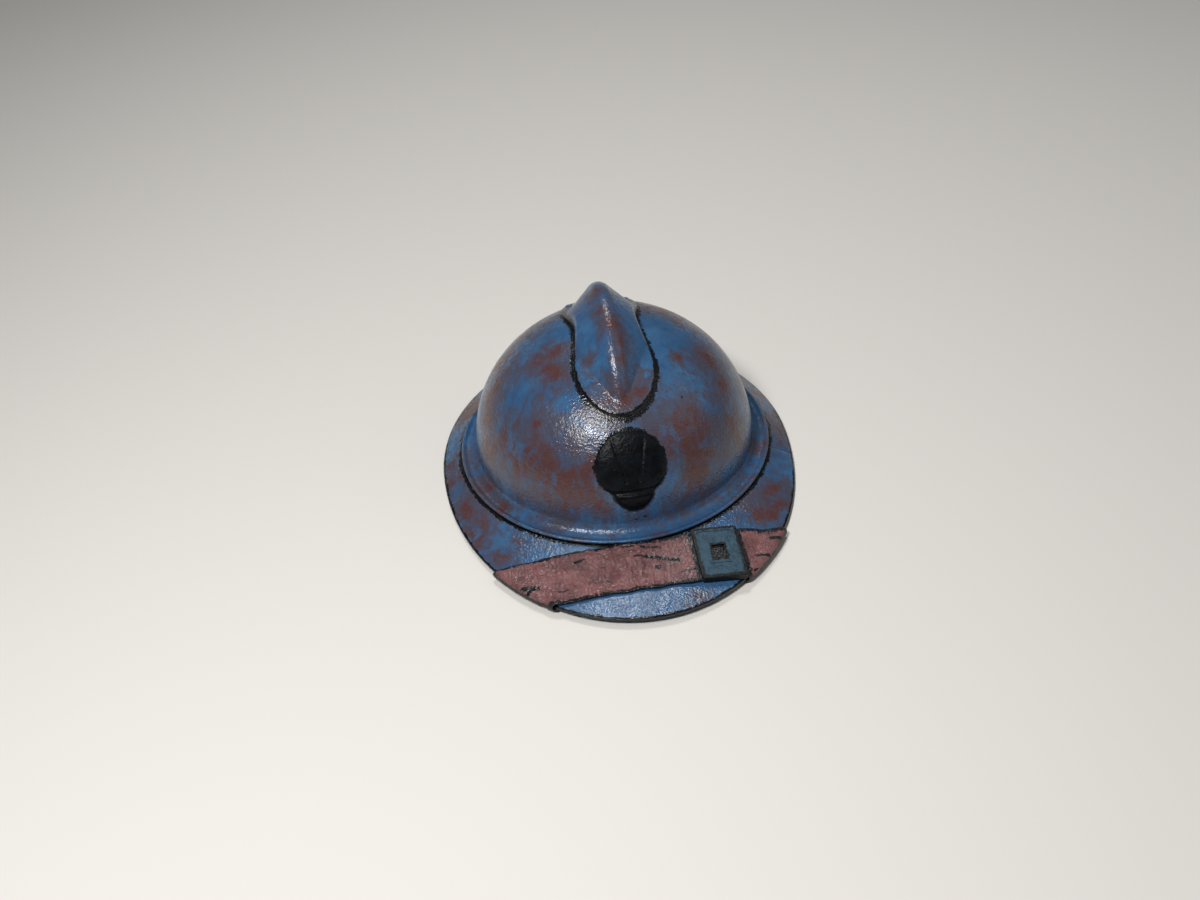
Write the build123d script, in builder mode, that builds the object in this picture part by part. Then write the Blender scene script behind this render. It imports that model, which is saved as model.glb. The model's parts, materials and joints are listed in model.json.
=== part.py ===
"""Steel helmet of the 1915 French pattern, at the size a head wears: a pressed bowl with a crest,
a front peak and a neck guard, a badge, a laced leather liner on corrugated spacers, and a leather
chinstrap laid over the peak.

Frame: millimetres, +Z up, the front towards -Y, origin on the floor at the middle of the brim's
length and width.
"""

from build123d import *
from math import cos, radians, sin, sqrt, tan
import os

os.makedirs("parts", exist_ok=True)

# Sheet steel, and the small gaps between pieces that lie against each other
sheet = 0.8
seat_gap = 0.3
seam_gap = 0.4
overrun = 5.0
quarter_turn = 90  # degrees
half_turn = 180  # degrees

# Brim: how far it stands out from the seat ring at the sides, at the front and at the rear
brim_side_overhang = 14.3
brim_front_overhang = 59.9
brim_rear_overhang = 25.9
hem_height = 1.8
seam_forward = 34.0
peak_pitch = 1.53  # degrees by which the peak's edge rises towards the front

# Bowl: an oval dome that flares out into a beaded seat ring
bowl_half_width = 94.3
bowl_half_length = 98.2
bowl_rise = 84.0
bowl_waist_height = 19.7
ring_overhang = 11.4
ring_height = 12.0
bead_radius = 1.2
flange_width = 9.0
vent_length = 52.0
vent_width = 8.0

# Crest: a hollow ridge on a tongue-shaped foot, alike at front and rear
crest_half_length = 69.0
crest_half_width = 25.5
crest_waist_half_width = 21.0
crest_widest_share = 0.52
crest_foot = 1.0
crest_ridge_height = 22.5
crest_ridge_half_length = 63.0
crest_ridge_rounding = 8.0
crest_flank_angle = 44.0  # degrees
crest_flank_length = 22.9
crest_flank_rounding = 4.0
crest_ridge_root = 30.0
crest_rivet_radius = 1.7
crest_rivet_head_radius = 3.0
crest_rivet_head_height = 1.1
crest_rivet_across = 19.0
crest_rivet_along = 46.0
rivet_hole_clearance = 0.1
rivet_tail_gap = 0.1

# Plates under the flange that join the peak to the neck guard
joint_plate_margin = 0.6
joint_plate_length = 26.0

# Badge on the front of the bowl
badge_height = 53.0
badge_flame_half_width = 22.0
badge_flame_top = 21.0
badge_flame_shoulder = 2.5
badge_crown_share = 0.72
badge_crown_rise = 15.0
badge_cheek_share = 0.87
badge_cheek_drop = 7.5
badge_waist_half_width = 13.0
badge_waist_drop = 12.0
badge_ball_half_width = 9.0
badge_ball_drop = 20.0
badge_ball_bottom = 24.5
badge_thickness = 1.4
badge_relief = 0.9
badge_relief_margin = 3.0
badge_groove_width = 1.6
badge_groove_length = 17.0
badge_groove_spread = 8.5
badge_groove_lean = 22.0  # degrees
badge_tab_width = 6.0
badge_tab_height = 5.5
badge_upper_tab_rise = 8.0
badge_lower_tab_drop = 20.5
tab_seat_gap = 0.1
slot_clearance = 0.4

# Liner
band_inset = 8.3
leather = 1.5
band_bottom = 14.0
band_top = 44.0
crown_gap = 12.0
tongue_count = 7
tongue_gap = 1.2
tongue_notch_width = 9.0
tongue_notch_start = 70.0
lace_ring_radius = 24.0
lace_radius = 1.1
lace_hem_clearance = 0.25
lace_hem = 1.2
lace_knot_radius = 2.3
spacer_depth = 3.9
spacer_sheet = 0.5
spacer_bottom = 18.0
spacer_top = 39.0
spacer_waves = 7
spacer_span = 46.0  # degrees
lug_width = 10.0
lug_blade_height = 40.0
lug_fold = 9.0
lug_foot = 9.0

# Strap rings in brackets under the neck guard's flange
ring_wire_radius = 1.25
strap_ring_width = 18.0
strap_ring_reach = 13.0
hinge_forward = 8.0
hinge_height = 6.2
strap_ring_inset = 7.7
strap_ring_corner = 1.6
knuckle_clearance = 0.1
knuckle_wall = 0.9
bracket_length = 11.5
bracket_half_foot = 7.0

# Chinstrap
strap_thickness = 1.6
strap_tuck = -0.7
strap_width = 38.0
strap_lift = 1.6
strap_under_gap = 0.3
strap_end_width = 12.0
strap_flat_run = 46.8
strap_ramp_height = 1.6
strap_neck = 10.0
strap_lap = 24.0
strap_loop_clearance = 0.1
strap_rivet_radius = 1.5
strap_rivet_head_radius = 3.0
strap_rivet_head_height = 0.7

# Slide buckle on the chinstrap
slide_across = 46.0
slide_length = 29.0
slide_wall = 0.8
slide_face = 1.2
slide_back = 0.6
slide_clearance = 0.35
slide_back_clearance = 0.8
slide_corner = 2.0
slide_edge_rounding = 0.5
slide_window_length = 8.5
slide_window_width = 11.5
slide_panel_margin = 3.0
slide_panel_depth = 0.4

# Places that follow from the sizes above
oval = bowl_half_length / bowl_half_width
ring_half_width = bowl_half_width + ring_overhang
ring_half_length = ring_half_width * oval
brim_half_width = ring_half_width + brim_side_overhang
brim_front = ring_half_length + brim_front_overhang
brim_rear = ring_half_length + brim_rear_overhang
centre_y = (brim_front - brim_rear) / 2
seam_y = centre_y - seam_forward
band_half_width = bowl_half_width - band_inset
crown_top = bowl_waist_height + bowl_rise
flare_radius = bowl_waist_height - ring_height - sheet
flange_half_width = ring_half_width - flange_width
hinge_along = centre_y - hinge_forward
strap_ring_y = hinge_along - strap_ring_reach
strap_ring_across = ring_half_width - strap_ring_inset
strap_rear_edge = centre_y - ring_half_length + strap_tuck
strap_front_edge = strap_rear_edge - strap_width
to_centre = Location((0, centre_y, 0))


def oval_line(half_width, front, rear):
    """Draw a closed outline of two half ellipses that meet on the widest line."""
    EllipticalCenterArc((0, 0), half_width, rear, start_angle=0, arc_size=half_turn)
    EllipticalCenterArc((0, 0), half_width, front, start_angle=half_turn, arc_size=half_turn)


def oval_prism(half_width, front, rear, bottom, top):
    """An upright prism over such an outline."""
    with BuildPart() as prism:
        with BuildSketch(Plane((0, centre_y, bottom))):
            with BuildLine():
                oval_line(half_width, front, rear)
            make_face()
        extrude(amount=top - bottom)
    return prism.part


def dome_solid(grow):
    """The bowl's dome above the ring, filled and grown by a distance."""
    radius = bowl_half_width + grow
    rise = bowl_rise + grow
    with BuildPart() as dome:
        with BuildSketch(Plane.XZ):
            with BuildLine():
                waist = (0, bowl_waist_height)
                EllipticalCenterArc(waist, radius, rise, start_angle=0, arc_size=quarter_turn)
                Polyline((0, bowl_waist_height + rise), (0, 0), (radius, 0), (radius, bowl_waist_height))
            make_face()
        revolve(axis=Axis.Z)
        scale(by=(1, (bowl_half_length + grow) / radius, 1))
    return dome.part.moved(to_centre)


def dome_layer(low, high):
    """The sheet between the dome grown by two distances."""
    return dome_solid(high) - dome_solid(low)


def dome_height(across, along, grow=0.0):
    """Height of the grown dome at a place measured from the bowl's centre."""
    left = 1 - (across / (bowl_half_width + grow)) ** 2 - (along / (bowl_half_length + grow)) ** 2
    return bowl_waist_height + (bowl_rise + grow) * sqrt(left)


def dome_plane(across, along, grow=0.0):
    """A plane on the grown dome, with its normal pointing out."""
    height = dome_height(across, along, grow)
    normal = (
        across / (bowl_half_width + grow) ** 2,
        along / (bowl_half_length + grow) ** 2,
        (height - bowl_waist_height) / (bowl_rise + grow) ** 2,
    )
    return Plane(origin=(across, centre_y + along, height), x_dir=(0, 1, 0), z_dir=normal)


def peak_floor(along):
    """Height of the peak's lower edge at a place along the helmet."""
    return (seam_y - along) * tan(radians(peak_pitch))


def brim_block(pitch, grow=0.0, drop=0.0):
    """All that lies under the brim's top face, grown by a distance, down to a pitched floor."""
    tilt = radians(pitch)
    floor_origin = (0, centre_y, (seam_y - centre_y) * tan(tilt))
    floor = Plane(origin=floor_origin, x_dir=(1, 0, 0), z_dir=(0, sin(tilt), cos(tilt)))
    outline = (brim_half_width + grow, brim_front + grow, brim_rear + grow)
    seat = (ring_half_width + grow, ring_half_length + grow, ring_half_length + grow)
    with BuildPart() as block:
        with BuildSketch(floor.offset(hem_height + grow)):
            with BuildLine():
                oval_line(*outline)
            make_face()
        with BuildSketch(Plane((0, centre_y, ring_height + grow))):
            with BuildLine():
                oval_line(*seat)
            make_face()
        loft(ruled=True)
        with BuildSketch(floor.offset(-drop)):
            with BuildLine():
                oval_line(*outline)
            make_face()
        extrude(amount=hem_height + grow + drop)
    return block.part


def brim_shell(pitch):
    """The whole brim as a sheet with a turned-down hem, open over the head."""
    flange_half_length = flange_half_width * oval
    opening = oval_prism(flange_half_width, flange_half_length, flange_half_length, -overrun, crown_top)
    return brim_block(pitch) - brim_block(pitch, -sheet, overrun) - opening


def brim_reach(along):
    """Distance across from the middle to the brim's edge, ahead of its widest line."""
    return brim_half_width * sqrt(1 - ((along - centre_y) / brim_front) ** 2)


def peak_height(across, along, grow=0.0):
    """Height of the grown peak's top face, halving the range of slope lines until one meets the place."""
    low, high = 0.0, 1.0
    for _ in range(40):
        share = (low + high) / 2
        wide = grow + brim_half_width + (ring_half_width - brim_half_width) * share
        long = grow + brim_front + (ring_half_length - brim_front) * share
        if (across / wide) ** 2 + ((along - centre_y) / long) ** 2 < 1:
            low = share
        else:
            high = share
    rim_along = centre_y + (along - centre_y) * (brim_front + grow) / long
    rim_height = peak_floor(rim_along) + hem_height + grow
    return rim_height + (ring_height + grow - rim_height) * share


# Bowl
with BuildPart() as bowl_blank:
    bead_x = ring_half_width - bead_radius
    bead_z = ring_height + bead_radius
    bead_start = bead_x - sqrt(bead_radius**2 - (bead_radius - sheet) ** 2)
    flare_x = bowl_half_width + flare_radius
    with BuildSketch(Plane.XZ):
        with BuildLine():
            EllipticalCenterArc(
                (0, bowl_waist_height), bowl_half_width, bowl_rise, start_angle=0, arc_size=quarter_turn
            )
            CenterArc((flare_x, bowl_waist_height), flare_radius, half_turn, quarter_turn)
            Line((flare_x, ring_height + sheet), (bead_start, ring_height + sheet))
            bead_foot = (bead_x, ring_height)
            ThreePointArc((bead_start, ring_height + sheet), (ring_half_width, bead_z), bead_foot)
            Line((bead_x, ring_height), (flare_x, ring_height))
            outer_flare = flare_radius + sheet
            CenterArc((flare_x, bowl_waist_height), outer_flare, half_turn + quarter_turn, -quarter_turn)
            EllipticalCenterArc(
                (0, bowl_waist_height),
                bowl_half_width - sheet,
                bowl_rise - sheet,
                start_angle=0,
                arc_size=quarter_turn,
            )
            Line((0, crown_top - sheet), (0, crown_top))
        make_face()
    revolve(axis=Axis.Z)
    scale(by=(1, oval, 1))

crest_rivet_places = [
    (side * crest_rivet_across, end * crest_rivet_along) for side in (-1, 1) for end in (-1, 1)
]


def rivet_holes():
    """Cutters for the four holes that the crest's rivets pass through."""
    with BuildPart() as holes:
        for across, along in crest_rivet_places:
            with BuildSketch(dome_plane(across, along).offset(-overrun)):
                Circle(crest_rivet_radius + rivet_hole_clearance)
            extrude(amount=2 * overrun)
    return holes.part


badge_tab_heights = (badge_height + badge_upper_tab_rise, badge_height - badge_lower_tab_drop)


def front_box(half_width, bottom, top):
    """A bar that runs out through the front of the bowl."""
    with BuildPart() as bar:
        with BuildSketch(Plane((0, centre_y, bottom))):
            with Locations((0, -bowl_half_length)):
                Rectangle(2 * half_width, bowl_half_length)
        extrude(amount=top - bottom)
    return bar.part


with BuildPart() as bowl:
    add(bowl_blank.part.moved(to_centre))
    with BuildSketch(Plane((0, centre_y, bowl_rise))):
        SlotOverall(vent_length, vent_width, rotation=quarter_turn)
    extrude(amount=bowl_rise, mode=Mode.SUBTRACT)
    add(rivet_holes(), mode=Mode.SUBTRACT)
    for height in badge_tab_heights:
        slot_top = height + sheet + slot_clearance
        slot = front_box(badge_tab_width / 2 + slot_clearance, height - slot_clearance, slot_top)
        add(slot, mode=Mode.SUBTRACT)

# Brim: the peak ahead of the seam and the neck guard behind it
with BuildPart() as peak:
    add(brim_shell(peak_pitch))
    split(bisect_by=Plane(origin=(0, seam_y - seam_gap / 2, 0), z_dir=(0, 1, 0)), keep=Keep.BOTTOM)

with BuildPart() as neck_guard:
    add(brim_shell(0))
    split(bisect_by=Plane(origin=(0, seam_y + seam_gap / 2, 0), z_dir=(0, 1, 0)), keep=Keep.TOP)


def joint_plate(side):
    """A plate welded under the flange, across the seam between the peak and the neck guard."""
    top = ring_height - sheet
    outer = ring_half_width - sheet - joint_plate_margin
    inner = flange_half_width + joint_plate_margin
    ring = oval_prism(outer, outer * oval, outer * oval, top - sheet, top)
    opening = oval_prism(inner, inner * oval, inner * oval, top - overrun, ring_height)
    with BuildPart() as plate:
        with BuildSketch(Plane((side * ring_half_width / 2, seam_y, top - sheet))):
            Rectangle(ring_half_width, joint_plate_length)
        extrude(amount=sheet)
        add(ring, mode=Mode.INTERSECT)
        add(opening, mode=Mode.SUBTRACT)
    return plate.part


with BuildPart() as brim_joint_plate_left:
    add(joint_plate(-1))

with BuildPart() as brim_joint_plate_right:
    add(joint_plate(1))

# Crest


def crest_plan(inset):
    """Draw the foot's tongue-shaped outline, inset by a distance, a quarter at a time."""
    widest = crest_half_length * crest_widest_share
    quarter = Spline(
        (crest_waist_half_width - inset, 0),
        (crest_half_width - inset, widest),
        (0, crest_half_length - inset),
        tangents=[(0, 1), (-1, 0)],
    )
    other = mirror(quarter, about=Plane.YZ)
    mirror([quarter, other], about=Plane.XZ)


def crest_prism(inset):
    """The foot's outline, inset by a distance, run up through the crown."""
    with BuildPart() as prism:
        with BuildSketch(Plane((0, centre_y, bowl_waist_height))):
            with BuildLine():
                crest_plan(inset)
            make_face()
        extrude(amount=2 * bowl_rise)
    return prism.part


def ridge_solid(inset):
    """A round-topped ridge with flared flanks, bent over the crown along an arc, inset by a distance."""
    end_height = dome_height(0, crest_ridge_half_length)
    rise = crown_top + crest_ridge_height - end_height
    arc_radius = (crest_ridge_half_length**2 + rise**2) / (2 * rise)
    arc_height = end_height + rise - arc_radius
    across = sin(radians(crest_flank_angle))
    upright = cos(radians(crest_flank_angle))
    top_radius = crest_ridge_rounding - inset
    foot_radius = crest_flank_rounding + inset
    crown = (0, arc_radius - inset)
    meeting = (across * top_radius, arc_radius - crest_ridge_rounding + upright * top_radius)
    bend = (meeting[0] + upright * crest_flank_length, meeting[1] - across * crest_flank_length)
    flank_foot = (bend[0] + across * foot_radius, bend[1] - (1 - upright) * foot_radius)
    flank_root = (flank_foot[0], arc_radius - crest_ridge_root)
    with BuildPart() as ridge:
        with BuildSketch(Plane.XZ.shift_origin((0, 0, arc_height))):
            with BuildLine():
                half = [
                    RadiusArc(crown, meeting, top_radius),
                    Line(meeting, bend),
                    RadiusArc(bend, flank_foot, -foot_radius),
                    Line(flank_foot, flank_root),
                    Line(flank_root, (0, flank_root[1])),
                ]
                mirror(half, about=Plane.YZ)
            make_face()
        revolve(axis=Axis((0, 0, arc_height), (1, 0, 0)))
        split(bisect_by=Plane.XY.offset(arc_height), keep=Keep.TOP)
    return ridge.part.moved(to_centre)


with BuildPart() as comb:
    add(dome_solid(seat_gap + crest_foot) + ridge_solid(0))
    add(crest_prism(0), mode=Mode.INTERSECT)
    add(ridge_solid(crest_foot) & crest_prism(crest_foot), mode=Mode.SUBTRACT)
    add(dome_solid(seat_gap), mode=Mode.SUBTRACT)
    add(rivet_holes(), mode=Mode.SUBTRACT)

with BuildPart() as comb_rivets:
    for across, along in crest_rivet_places:
        seat = dome_plane(across, along)
        head_base = seat.offset(seat_gap + crest_foot)
        tail_base = seat.offset(-sheet - rivet_tail_gap - crest_rivet_head_height)
        with BuildSketch(tail_base):
            Circle(crest_rivet_head_radius)
        extrude(amount=crest_rivet_head_height)
        with BuildSketch(tail_base):
            Circle(crest_rivet_radius)
        extrude(amount=crest_rivet_head_height + rivet_tail_gap + sheet + seat_gap + crest_foot)
        with BuildSketch(head_base):
            Circle(crest_rivet_head_radius)
        extrude(amount=crest_rivet_head_height, taper=45)

# Badge: a flame over a ball, plain, with a raised middle and two tabs bent inside the bowl


def badge_outline(inset):
    """Draw the badge's outline on the upright plane, inset by a distance."""
    right = Spline(
        (0, badge_flame_top - inset),
        (badge_flame_half_width * badge_crown_share - inset / 2, badge_crown_rise - inset),
        (badge_flame_half_width - inset, badge_flame_shoulder),
        (badge_flame_half_width * badge_cheek_share - inset, -badge_cheek_drop),
        (badge_waist_half_width - inset, -badge_waist_drop),
        (badge_ball_half_width - inset, -badge_ball_drop),
        (0, inset - badge_ball_bottom),
        tangents=[(1, 0), (-1, 0)],
    )
    mirror(right, about=Plane.YZ)


def badge_prism(inset):
    """The badge's outline run back through the front of the bowl."""
    with BuildPart() as prism:
        with BuildSketch(Plane((0, centre_y, badge_height), x_dir=(1, 0, 0), z_dir=(0, -1, 0))):
            with BuildLine():
                badge_outline(inset)
            make_face()
        extrude(amount=ring_half_length)
    return prism.part


with BuildPart() as badge:
    add(badge_prism(0) & dome_layer(seat_gap, seat_gap + badge_thickness))
    add(badge_prism(badge_relief_margin) & dome_layer(seat_gap, seat_gap + badge_thickness + badge_relief))
    with BuildSketch(Plane((0, centre_y, badge_height), x_dir=(1, 0, 0), z_dir=(0, -1, 0))):
        for lean in (-1, 0, 1):
            place = (lean * badge_groove_spread, badge_flame_shoulder, 0)
            with Locations(Location(place, (0, 0, -lean * badge_groove_lean))):
                SlotOverall(badge_groove_length, badge_groove_width, rotation=quarter_turn)
    groove_bars = extrude(amount=ring_half_length, mode=Mode.PRIVATE)
    add(groove_bars & dome_layer(seat_gap + badge_thickness, overrun), mode=Mode.SUBTRACT)
    for height in badge_tab_heights:
        blade = front_box(badge_tab_width / 2, height, height + sheet)
        leaf = front_box(badge_tab_width / 2, height, height + badge_tab_height)
        add(blade & dome_layer(-2 * sheet - tab_seat_gap, seat_gap + badge_thickness / 2))
        add(leaf & dome_layer(-2 * sheet - tab_seat_gap, -sheet - tab_seat_gap))

# Liner: a leather band, tongues that meet at the crown, a lace, spacers and folded lugs
liner_rise = crown_top - sheet - crown_gap - band_top


def liner_dome(grow):
    """The filled dome that the tongues follow, grown by a distance."""
    radius = band_half_width + grow
    with BuildPart() as dome:
        with BuildSketch(Plane.XZ):
            with BuildLine():
                rise = liner_rise + grow
                EllipticalCenterArc((0, band_top), radius, rise, start_angle=0, arc_size=quarter_turn)
                Polyline((0, band_top + liner_rise + grow), (0, band_top), (radius, band_top))
            make_face()
        revolve(axis=Axis.Z)
        scale(by=(1, oval, 1))
    return dome.part.moved(to_centre)


def liner_height(reach):
    """Height of the tongues' outer face at a distance from the middle."""
    return band_top + liner_rise * sqrt(1 - (reach / band_half_width) ** 2)


def oval_point(reach, turn):
    """A place in plan at a reach from the middle of the oval, turned in degrees from +X."""
    return (reach * cos(radians(turn)), reach * oval * sin(radians(turn)))


with BuildPart() as liner_band:
    band_half_length = band_half_width * oval
    inner = band_half_width - leather
    add(oval_prism(band_half_width, band_half_length, band_half_length, band_bottom, band_top))
    hollow = oval_prism(inner, inner * oval, inner * oval, band_bottom - overrun, band_top + overrun)
    add(hollow, mode=Mode.SUBTRACT)
    with BuildSketch(Plane((0, centre_y, lug_blade_height - slot_clearance))):
        Rectangle(lug_width + 2 * slot_clearance, 3 * band_half_width)
        Rectangle(3 * band_half_width, lug_width + 2 * slot_clearance)
    extrude(amount=sheet + 2 * slot_clearance, mode=Mode.SUBTRACT)

tongue_turn = 2 * half_turn / tongue_count
hem_bore = lace_radius + lace_hem_clearance
lace_height = liner_height(lace_ring_radius) - hem_bore - lace_hem


def lace_tube(radius):
    """A ring of a given section radius that follows the lace, with its seam between two tongues."""
    with BuildPart() as tube:
        with BuildSketch(Plane.XZ.shift_origin((0, 0, lace_height))):
            with Locations((lace_ring_radius, 0)):
                Circle(radius)
        revolve(axis=Axis.Z)
    return tube.part.moved(Location((0, centre_y, 0), (0, 0, quarter_turn - 3 * tongue_turn / 2)))


liner_tongues = []
for index in range(tongue_count):
    turn = quarter_turn + index * tongue_turn
    with BuildPart() as tongue:
        with BuildSketch(Plane((0, centre_y, band_top))):
            with BuildLine():
                start = turn - tongue_turn / 2
                end = turn + tongue_turn / 2
                far = band_half_width * 2
                Polyline((0, 0), oval_point(far, start), oval_point(far, end), (0, 0))
            make_face()
            for edge_turn in (start, end):
                with BuildLine():
                    aside = radians(edge_turn + quarter_turn)
                    narrow = (tongue_gap / 2 * cos(aside), tongue_gap / 2 * sin(aside))
                    broad = (tongue_notch_width / 2 * cos(aside), tongue_notch_width / 2 * sin(aside))
                    root = oval_point(tongue_notch_start, edge_turn)
                    tip = oval_point(far, edge_turn)
                    Polyline(
                        (root[0] + narrow[0], root[1] + narrow[1]),
                        (broad[0], broad[1]),
                        (-broad[0], -broad[1]),
                        (root[0] - narrow[0], root[1] - narrow[1]),
                        (tip[0] - narrow[0], tip[1] - narrow[1]),
                        (tip[0] + narrow[0], tip[1] + narrow[1]),
                        close=True,
                    )
                make_face(mode=Mode.SUBTRACT)
        extrude(amount=liner_rise + overrun)
    sector = tongue.part
    open_crown = oval_prism(lace_ring_radius, lace_ring_radius, lace_ring_radius, band_top, crown_top)
    with BuildPart() as hemmed:
        add(sector & (liner_dome(0) - liner_dome(-leather) - open_crown))
        add(sector & lace_tube(hem_bore + lace_hem))
        add(lace_tube(hem_bore), mode=Mode.SUBTRACT)
    liner_tongues.append(hemmed.part)

with BuildPart() as liner_lace:
    add(lace_tube(lace_radius))
    knot_turn = quarter_turn + tongue_turn / 2
    knot_across = lace_ring_radius * cos(radians(knot_turn))
    knot_along = centre_y + lace_ring_radius * sin(radians(knot_turn))
    with Locations(Location((knot_across, knot_along, lace_height), (quarter_turn, 0, knot_turn))):
        Sphere(lace_knot_radius)


def spacer(turn):
    """A corrugated strip that stands between the band and the bowl, centred on a turn from +X."""
    middle = band_half_width + seat_gap + spacer_depth / 2
    swing = (spacer_depth - spacer_sheet) / 2
    steps = 2 * spacer_waves
    points = []
    for step in range(steps + 1):
        side = 1 if step % 2 else -1
        points.append(oval_point(middle + side * swing, turn + spacer_span * (step / steps - 1 / 2)))
    with BuildPart() as strip:
        with BuildSketch(Plane((0, centre_y, spacer_bottom))):
            with BuildLine() as wave:
                Spline(*points)
            trace(line_width=spacer_sheet)
        extrude(amount=spacer_top - spacer_bottom)
    return strip.part


def lug(turn):
    """A steel tab welded inside the bowl and folded through a slit in the band."""
    inner = band_half_width - leather - slot_clearance - sheet
    far = bowl_half_width * oval
    blade_top = lug_blade_height + sheet
    with BuildPart() as tab:
        with BuildSketch(Plane.XY.offset(lug_blade_height)):
            with Locations(((inner + far) / 2, 0)):
                Rectangle(far - inner, lug_width)
        extrude(amount=sheet)
        with BuildSketch(Plane.XY.offset(blade_top - lug_fold)):
            with Locations((inner + sheet / 2, 0)):
                Rectangle(sheet, lug_width)
        extrude(amount=lug_fold)
        with BuildSketch(Plane.XY.offset(lug_blade_height)):
            with Locations((far - lug_foot, 0)):
                Rectangle(2 * lug_foot, lug_width)
        extrude(amount=lug_foot)
    reach = 0 if turn % half_turn == 0 else inner * (oval - 1)
    shifted = tab.part.moved(Location((reach, 0, 0)))
    placed = shifted.moved(Location((0, centre_y, 0), (0, 0, turn)))
    with BuildPart() as foot_space:
        add(dome_solid(-2 * sheet - seat_gap / 3))
        split(bisect_by=Plane.XY.offset(blade_top), keep=Keep.TOP)
    return (placed & dome_solid(-sheet - seat_gap / 3)) - foot_space.part


sides = {"front": -quarter_turn, "rear": quarter_turn, "left": half_turn, "right": 0}
spacers = {name: spacer(turn) for name, turn in sides.items()}
lugs = {name: lug(turn) for name, turn in sides.items()}

# Strap rings and their brackets
hinge_bar = Plane((0, hinge_along, hinge_height), x_dir=(0, 1, 0), z_dir=(1, 0, 0))


def ring_bracket(side):
    """A plate under the flange that folds around the ring's rear bar."""
    top = ring_height - sheet - hinge_height
    bore = ring_wire_radius + knuckle_clearance
    with BuildPart() as bracket:
        with BuildSketch(hinge_bar.offset(side * strap_ring_across)):
            with Locations((0, top - sheet / 2)):
                Rectangle(2 * bracket_half_foot, sheet)
            with Locations((0, top / 2)):
                Rectangle(2 * (bore + knuckle_wall), top)
            Circle(bore + knuckle_wall)
            Circle(bore, mode=Mode.SUBTRACT)
        extrude(amount=bracket_length / 2, both=True)
    return bracket.part


def strap_ring(side):
    """A rectangle of wire: its rear bar turns in the bracket, its front bar holds the strap."""
    middle = Plane((side * strap_ring_across, hinge_along - strap_ring_reach / 2, hinge_height))
    with BuildSketch(middle, mode=Mode.PRIVATE) as outline:
        RectangleRounded(strap_ring_width - 2 * ring_wire_radius, strap_ring_reach, strap_ring_corner)
    path = outline.sketch.faces()[0].outer_wire()
    with BuildPart() as ring:
        with BuildSketch(Plane(path @ 0, z_dir=path % 0)):
            Circle(ring_wire_radius)
        sweep(path=path)
    return ring.part


with BuildPart() as ring_bracket_left:
    add(ring_bracket(-1))

with BuildPart() as ring_bracket_right:
    add(ring_bracket(1))

with BuildPart() as strap_ring_left:
    add(strap_ring(-1))

with BuildPart() as strap_ring_right:
    add(strap_ring(1))

# Chinstrap: over the peak, round its edge on both sides and back under it to the rings
strap_middle = (strap_rear_edge + strap_front_edge) / 2
lap_end = strap_ring_y - strap_lap - strap_neck
strap_under = strap_under_gap + strap_thickness
strap_outer_grow = strap_lift + strap_thickness
ramp_end = (strap_ring_y - strap_neck, hinge_height - strap_thickness)
ramp_start = (strap_rear_edge + strap_flat_run, strap_ramp_height)


def ramp_height(along):
    """Height of the strap's lower face on its climb to the ring."""
    share = (along - ramp_start[0]) / (ramp_end[0] - ramp_start[0])
    return ramp_start[1] + (ramp_end[1] - ramp_start[1]) * share


def strap_tail(side):
    """One end of the strap, from the peak's edge back under the brim and round the ring's front bar."""
    wide = brim_half_width
    half_end = strap_end_width / 2
    across = strap_ring_across
    bar = Plane((0, 0, 0), x_dir=(0, 1, 0), z_dir=(1, 0, 0))
    hole = ring_wire_radius + strap_loop_clearance
    with BuildPart() as tail:
        with BuildSketch(bar):
            with BuildLine():
                front_low = (strap_front_edge, peak_floor(strap_front_edge) - strap_under)
                rear_low = (strap_rear_edge, peak_floor(strap_rear_edge) - strap_under)
                Polyline(
                    front_low,
                    rear_low,
                    ramp_start,
                    ramp_end,
                    (ramp_end[0], ramp_end[1] + 2 * strap_thickness),
                    (lap_end, ramp_height(lap_end) + 2 * strap_thickness),
                    (lap_end, ramp_height(lap_end) + strap_thickness),
                    (ramp_start[0], ramp_start[1] + strap_thickness),
                    (rear_low[0], rear_low[1] + strap_thickness),
                    (front_low[0], front_low[1] + strap_thickness),
                    close=True,
                )
            make_face()
        with BuildSketch(bar):
            with Locations((strap_ring_y, hinge_height)):
                Circle(hole + strap_thickness)
            with Locations((ramp_end[0], hinge_height)):
                Circle(strap_thickness)
            make_hull()
            with Locations((strap_ring_y, hinge_height)):
                Circle(hole, mode=Mode.SUBTRACT)
        extrude(amount=wide, both=True)
        with BuildSketch(Plane.XY.offset(-overrun)):
            with BuildLine():
                Polyline(
                    (side * brim_reach(strap_front_edge), strap_front_edge),
                    (side * wide, strap_front_edge),
                    (side * wide, strap_rear_edge),
                    (side * brim_reach(strap_rear_edge), strap_rear_edge),
                    (side * (across + half_end), ramp_end[0]),
                    (side * (across + half_end), hinge_along),
                    (side * (across - half_end), hinge_along),
                    (side * (across - half_end), ramp_end[0]),
                    close=True,
                )
            make_face()
        extrude(amount=ring_height + overrun, mode=Mode.INTERSECT)
    return tail.part


strap_outer = brim_block(peak_pitch, strap_outer_grow, strap_under)
strap_inner = brim_block(peak_pitch, strap_lift, overrun)
rivet_seat_y = (ramp_end[0] + lap_end) / 2
rivet_slope = Vector(0, ramp_end[0] - ramp_start[0], ramp_end[1] - ramp_start[1]).normalized()


def strap_rivet_plane(side):
    """A plane on the doubled end's lower face, where its rivet sits."""
    origin = (side * strap_ring_across, rivet_seat_y, ramp_height(rivet_seat_y))
    return Plane(origin=origin, x_dir=(1, 0, 0), z_dir=Vector(1, 0, 0).cross(rivet_slope))


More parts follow.
